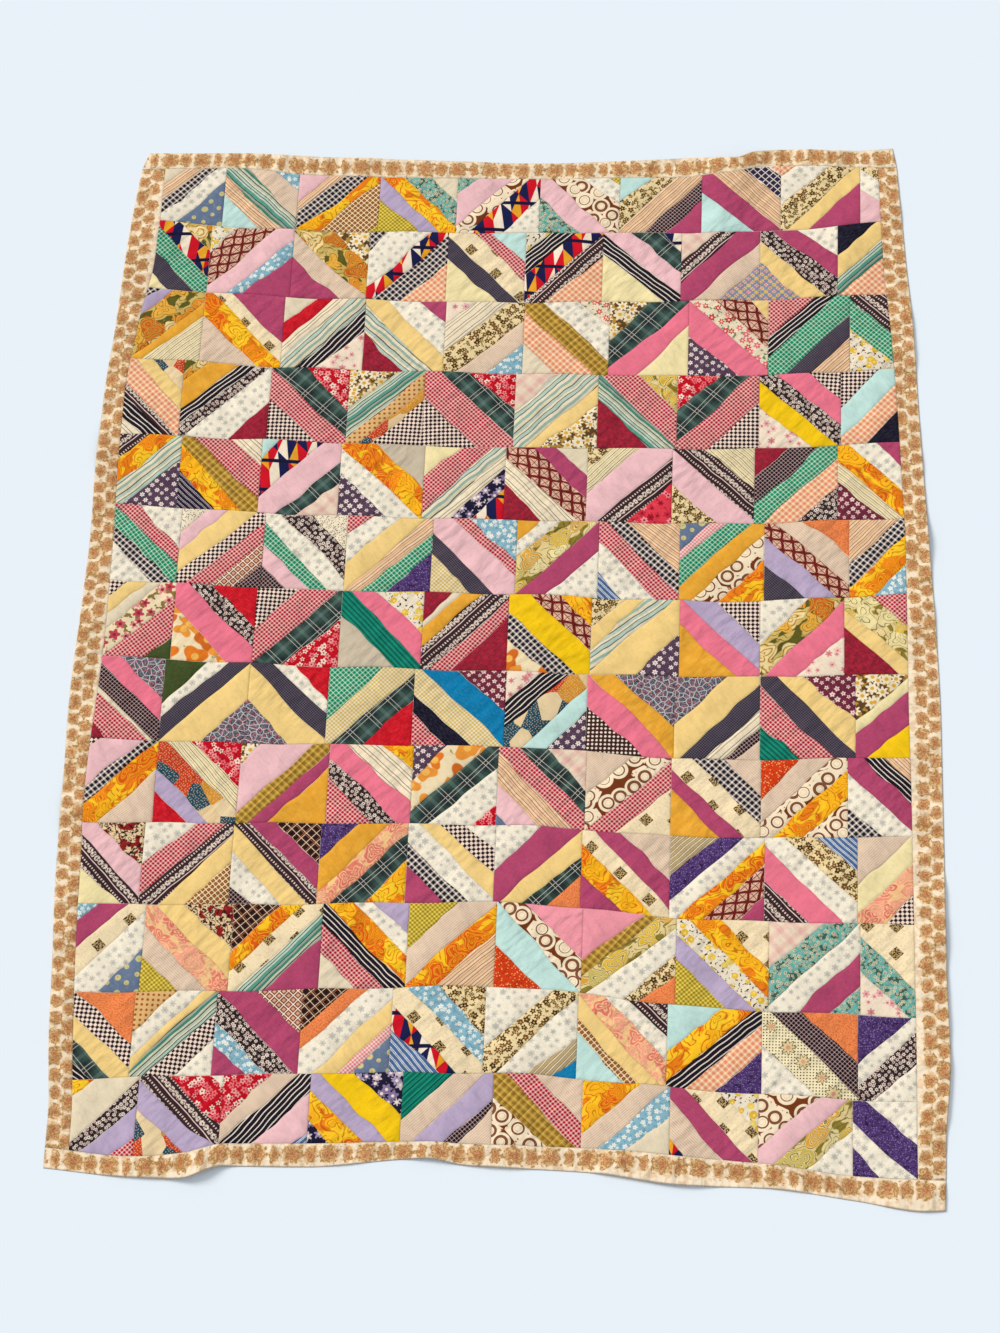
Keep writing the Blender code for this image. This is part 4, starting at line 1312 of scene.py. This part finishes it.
# %% One block
def cut_block(row, column, names, ends):
    """One pieced block as a mesh."""
    chance_here = np.random.default_rng(100 + row * COLUMNS + column)
    leans_right = (row + column) % 2 == 0
    seams = UPRIGHT_SEAMS[row]
    wide = seams[column + 1] - seams[column]
    centre = (seams[column + 1] + seams[column]) / 2
    tall = float(level(row + 1, centre) - level(row, centre))
    total = tall + wide
    first, last = seam_ends(ends, chance_here)
    places = lines_across(first, last, tall, wide)
    strips = np.arange(len(first))
    start = np.interp(places, strips, first) * total
    stop = np.interp(places, strips, last) * total
    right, below, run = lay_lines(start, stop, tall, wide)
    sway = waver(places, strips, run, chance_here)
    right = np.clip(right + sway * SWAY_EACH_WAY, 0, wide)
    below = np.clip(below + sway * SWAY_EACH_WAY, 0, tall)

    # From the rectangle into the real block
    s = right / wide
    t = below / tall
    if not leans_right:
        s = 1 - s
    left_side = side(2, row + t) if column == 0 else seams[column] + 0 * t
    right_side = side(3, row + t) if column == COLUMNS - 1 else seams[column + 1] + 0 * t
    across = left_side + (right_side - left_side) * s
    down = (1 - t) * level(row, across) + t * level(row + 1, across)
    x, y = to_metres(across, down)

    # Down in the ditches, softly up inside each strip, and painted shade beside the seams
    off_side = np.minimum(np.minimum(s, 1 - s) * wide, np.minimum(t, 1 - t) * tall) * BLOCK
    off_seam = np.minimum(off_strip_seam(places, first, total)[:, None], off_side)
    z = lie(x, y) + puff(off_seam, 0.0010, 0.0007)
    # The seam mark is painted shade: darker in the ditch of each strip seam, and faintly along the
    # block's sides
    seam = np.exp(-(off_seam / 0.0011) ** 2) * 0.54 + np.exp(-off_side / 0.0030) * 0.14

    # Where each strip lies on its bolt of cloth
    turn = chance_here.normal(0, 0.045, len(names))
    shift = chance_here.uniform(0, 1.5, (2, len(names)))
    sign = 1.0 if leans_right else -1.0
    along_strip = ((x * sign + y) / math.sqrt(2)).reshape(-1)
    across_strip = ((x * sign - y) / math.sqrt(2)).reshape(-1)

    def on_the_bolt(corners, strip):
        u = along_strip[corners]
        v = across_strip[corners]
        bolt_u = u * np.cos(turn[strip]) - v * np.sin(turn[strip]) + shift[0][strip]
        bolt_v = u * np.sin(turn[strip]) + v * np.cos(turn[strip]) + shift[1][strip]
        return bolt_u, bolt_v

    spread = np.stack([0.01 + 0.98 * s, 0.99 - 0.98 * t], -1)
    name = "block_r%02d_c%02d" % (row + 1, column + 1)
    materials = [cotton(one) for one in names]
    strip_of_line = np.clip(np.floor((places[:-1] + places[1:]) / 2).astype(int), 0, len(names) - 1)
    marks = {"seam": np.clip(seam, 0, 1)}
    return sew_piece(name, x, y, z, marks, on_the_bolt, spread, materials, strip_of_line)


# %% Sew all the blocks
blocks = []
for number, (names, ends) in enumerate(chart):
    blocks.append(cut_block(number // COLUMNS, number % COLUMNS, names, ends))
print(len(blocks), "blocks of", len(dyed), "cottons,", sum(len(b.data.polygons) for b in blocks), "faces")

# %% [markdown]
# ## The border
#
# The border is one printed cotton: orange-brown roses on cream, big and small by turns, that almost
# fill its width. The print is drawn from distances to the middle of each rose, because it has a
# clear repeat along the strip, which scattered flowers would lose. Noise makes the roses ragged.

# %% Border print
def rose(along, across, half_long, half_wide, rough):
    """Masks of one rose: its ragged and rather square outline, its curled petals and its heart."""
    long_part = (along / half_long).math("ABSOLUTE").math("POWER", 2.6)
    wide_part = (across / half_wide).math("ABSOLUTE").math("POWER", 2.6)
    away = (long_part + wide_part).math("POWER", 1 / 2.6) + (rough - 0.5) * 1.1
    petals = (away * 10.0 + rough * 14.0).math("COSINE").above(-0.1, 0.7)
    return away.below(0.92, 0.20), petals, away.below(0.42, 0.30)


def border_print(cloth, roses, repeat):
    """The border's cream cotton with its roses, big and small, in a repeat along the strip."""
    rough = cloth.noise(0.0095, 3.0, 1.0)
    mottle = cloth.noise(0.013, 3.0, 2.0).above(0.56, 0.10)
    colour = cloth.mix(mottle * 0.55, "#F5E6CE", "#DFB98C")
    for offset, middle, half_long, half_wide in roses:
        along = ((cloth.u + offset) / repeat).math("FRACT") * repeat - repeat / 2
        inside, petals, heart = rose(along, cloth.v - middle, half_long, half_wide, rough)
        colour = cloth.layers(
            colour, (inside * 0.85, "#DBB07A"), (inside * petals * 0.80, "#A07640"),
            (heart * 0.45, "#AC4A22"))
    # Painted shade: the last two millimetres of the turned edge are mixed towards grey, the dull rolled
    # side
    edge = cloth.node("ShaderNodeAttribute", {"attribute_name": "edge"}, {}, "Fac")
    return cloth.mix(edge * 0.8, colour, "#B9AFA2")


LEVEL_REPEAT = 0.140
UPRIGHT_REPEAT = 0.150
BORDER_CREASE = 1.2

# Place along the strip, place across it, half length and half width, in metres
LEVEL_ROSES = (
    (0.000, 0.0210, 0.0215, 0.0205),
    (0.035, 0.0215, 0.0105, 0.0180),
    (0.070, 0.0210, 0.0205, 0.0200),
    (0.106, 0.0220, 0.0155, 0.0185),
)
UPRIGHT_ROSES = (
    (0.000, 0.0135, 0.0210, 0.0155),
    (0.040, 0.0130, 0.0165, 0.0145),
    (0.078, 0.0135, 0.0150, 0.0135),
    (0.113, 0.0130, 0.0150, 0.0140),
    (0.020, 0.0385, 0.0155, 0.0140),
    (0.058, 0.0380, 0.0205, 0.0155),
    (0.096, 0.0385, 0.0145, 0.0140),
    (0.130, 0.0380, 0.0165, 0.0145),
)


def border_cotton(name, roses, repeat):
    cloth = Cloth(name)
    return finish_cloth(cloth, border_print(cloth, roses, repeat), BORDER_CREASE)


level_border = border_cotton("level_border_cotton", LEVEL_ROSES, LEVEL_REPEAT)
upright_border = border_cotton("upright_border_cotton", UPRIGHT_ROSES, UPRIGHT_REPEAT)
print("border cottons", level_border.name, upright_border.name)

# %% [markdown]
# ## Border strips
#
# A border strip is a long narrow lattice. Its inner line is the seam of the panel. Its outer line is
# a turned edge, so the cloth rolls down to the surface over the last two millimetres.

# %% One border strip
EDGE_STEPS = np.array([0.0, 0.0004, 0.0010, 0.0020, 0.0036])
SEAM_STEPS = np.array([0.0080, 0.0034, 0.0012, 0.0])
TURN_RADIUS = 0.0022
EDGE_LIFT = 0.0003
LANES = 5
PANEL_LENGTH = 2.2


def across_steps(width_m, outer_first):
    """Places across a strip from 0 to 1, close together at the turned edge and at the seam."""
    turned = EDGE_STEPS / width_m
    sewn = 1 - SEAM_STEPS / width_m
    steps = np.concatenate([turned, np.linspace(turned[-1], sewn[0], 6)[1:-1], sewn])
    return steps if outer_first else (1 - steps)[::-1]


def finish_border(name, across, down, off_edge, off_seam, u, v, material):
    """Heights, painted shade at the seam and at the turned edge, and mesh of one border strip."""
    x, y = to_metres(across, down)
    low = fold_lift(across, down)
    roll = np.sqrt(1 - np.clip(1 - off_edge / TURN_RADIUS, 0, 1) ** 2)
    raised = lie(x, y) - low + puff(off_seam, 0.0007, 0.0006) - EDGE_LIFT
    z = low + EDGE_LIFT + raised * (0.10 + 0.90 * roll)
    # The seam mark is painted shade: darker at the panel seam, and faintly at the turned edge where the
    # cloth rolls down
    seam = np.clip(np.exp(-(off_seam / 0.0014) ** 2) * 0.9 + np.exp(-off_edge / 0.0008) * 0.3, 0, 1)

    # The long strip is cut into lanes that lie one above another on the bake's unit square
    place = np.linspace(0, LANES, len(across)) * 0.9999
    lane = np.floor(place)
    share = (v - v.min()) / (v.max() - v.min())
    spread = np.stack([
        0.01 + 0.98 * np.broadcast_to((place - lane)[:, None], v.shape),
        (lane[:, None] + 0.04 + 0.92 * share) / LANES,
    ], -1)
    flat_u = u.reshape(-1)
    flat_v = v.reshape(-1)
    # The edge mark carries the painted shade of the grey rim where the cloth rolls down
    marks = {"seam": seam, "edge": np.exp(-(off_edge / 0.0016) ** 2)}
    return sew_piece(
        name, x, y, z, marks, lambda corners, strip: (flat_u[corners], flat_v[corners]),
        spread, [material], np.zeros(len(across) - 1, int),
    )


def lengthwise(count):
    """Places from 0 to 1 that are closer together at both turned ends."""
    middle = np.linspace(0.0022, 0.9978, count)
    ends = np.array([0.0, 0.0003, 0.0007, 0.0013])
    return np.concatenate([ends, middle, 1 - ends[::-1]])


def level_strip(name, at_head):
    """The head's or the foot's border, from one outer side to the other."""
    a = lengthwise(300)[:, None]
    steps = across_steps(0.040, at_head)[None, :]
    line = -1 if at_head else ROWS
    left = side(1, line + steps + 0 * a)
    right = side(4, line + steps + 0 * a)
    across = left + (right - left) * a
    top = level(line, across)
    bottom = level(line + 1, across)
    down = top + (bottom - top) * steps
    depth = (bottom - top) * BLOCK
    outer_share, inner_share = (steps, 1 - steps) if at_head else (1 - steps, steps)
    inner = inner_share * depth
    ends = np.minimum(a, 1 - a) * (right - left) * BLOCK
    off_edge = np.minimum(outer_share * depth, ends)
    return finish_border(name, across, down, off_edge, inner, across * BLOCK, inner, level_border)


def upright_strip(name, at_left):
    """The left or the right border, between the head's strip and the foot's."""
    b = np.linspace(0, 1, 330)[:, None]
    steps = across_steps(0.046, at_left)[None, :]
    row = b * ROWS
    left, right = (side(1, row), side(2, row)) if at_left else (side(3, row), side(4, row))
    across = left + (right - left) * steps
    above = np.minimum(np.floor(row), ROWS - 1)
    part = row - above
    down = np.zeros_like(across)
    for number in range(ROWS):
        here = above[:, 0] == number
        top = level(number, across[here])
        bottom = level(number + 1, across[here])
        down[here] = top + (bottom - top) * part[here]
    width = (right - left) * BLOCK
    outer_share, inner_share = (steps, 1 - steps) if at_left else (1 - steps, steps)
    off_edge = outer_share * width
    off_end = np.minimum(b, 1 - b) * PANEL_LENGTH
    off_seam = np.minimum(inner_share * width, off_end)
    return finish_border(name, across, down, off_edge, off_seam, down * BLOCK, off_edge, upright_border)


borders = [
    level_strip("head_border", True),
    level_strip("foot_border", False),
    upright_strip("left_border", True),
    upright_strip("right_border", False),
]
print("borders", [(b.name, len(b.data.polygons)) for b in borders])

# %% [markdown]
# ## The backing
#
# The underside is a plain muslin, one sheet under everything. It is a closed thin mesh rather than a
# single skin, because the quilt may be seen from below or at its edge.

# %% Muslin backing
INSET = 0.035
UNDER_GAP = 0.0001
MUSLIN_THICKNESS = 0.0006


def cut_backing():
    """A thin closed sheet a little smaller than the outline."""
    a = np.linspace(0, 1, 61)[None, :]
    b = np.linspace(0, 1, 81)[:, None]
    row = -1 + (ROWS + 2) * b
    left = side(1, row) + INSET
    right = side(4, row) - INSET
    across = left + (right - left) * a
    top = level(-1, across) + INSET
    bottom = level(ROWS + 1, across) - INSET
    down = top + (bottom - top) * b
    x, y = to_metres(across, down)
    low = fold_lift(across, down) + UNDER_GAP
    number = np.arange(x.size).reshape(x.shape)
    upper = lattice_faces(number)
    lower = upper[:, ::-1] + number.size
    rim = rim_of(number)
    after = np.roll(rim, -1)
    wall = np.stack([rim, rim + number.size, after + number.size, after], -1)
    points = np.concatenate([
        np.stack([x, y, z], -1).reshape(-1, 3) for z in (low + MUSLIN_THICKNESS, low)
    ])
    faces = np.concatenate([upper, lower, wall])
    mesh = smooth_mesh("backing", points, faces)
    add_map(mesh, "cloth", points[faces][:, :, :2])
    cloth = Cloth("muslin_backing")
    mesh.materials.append(finish_cloth(cloth, plain(cloth, "#EDE6D6", "#CFC5B2", 0.35)))
    return put("backing", mesh)


backing = cut_backing()
print("backing", len(backing.data.polygons), "faces")

# %% [markdown]
# ## The floor
#
# The quilt lies on a plain pale floor. A big sheet of one matt colour is all that it needs.

# %% Floor
REACH = 9.0
floor_mesh = bpy.data.meshes.new("floor")
floor_mesh.from_pydata(
    [(-REACH, -REACH, 0), (REACH, -REACH, 0), (REACH, REACH, 0), (-REACH, REACH, 0)], [], [(0, 1, 2, 3)]
)
floor = put("floor", floor_mesh)
floor_paint = bpy.data.materials.new("pale_floor")
floor_paint.use_nodes = True
floor_shader = floor_paint.node_tree.nodes["Principled BSDF"]
floor_shader.inputs["Base Color"].default_value = light("#E9F1F9")
floor_shader.inputs["Roughness"].default_value = 0.9
floor_shader.inputs["Specular IOR Level"].default_value = 0.1
floor_mesh.materials.append(floor_paint)
print("floor", floor.dimensions[:])

# %% [markdown]
# ## Joining it all to the frame
#
# Every piece rides on the quilt's one body and stands for a solid of the imported model.

# %% Ride and replace
for block in blocks:
    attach(block, "root")
    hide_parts("pieced_top")

for border, node in zip(borders, ("border_top", "border_bottom", "border_left", "border_right")):
    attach(border, "root")
    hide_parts(node)

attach(backing, "root")
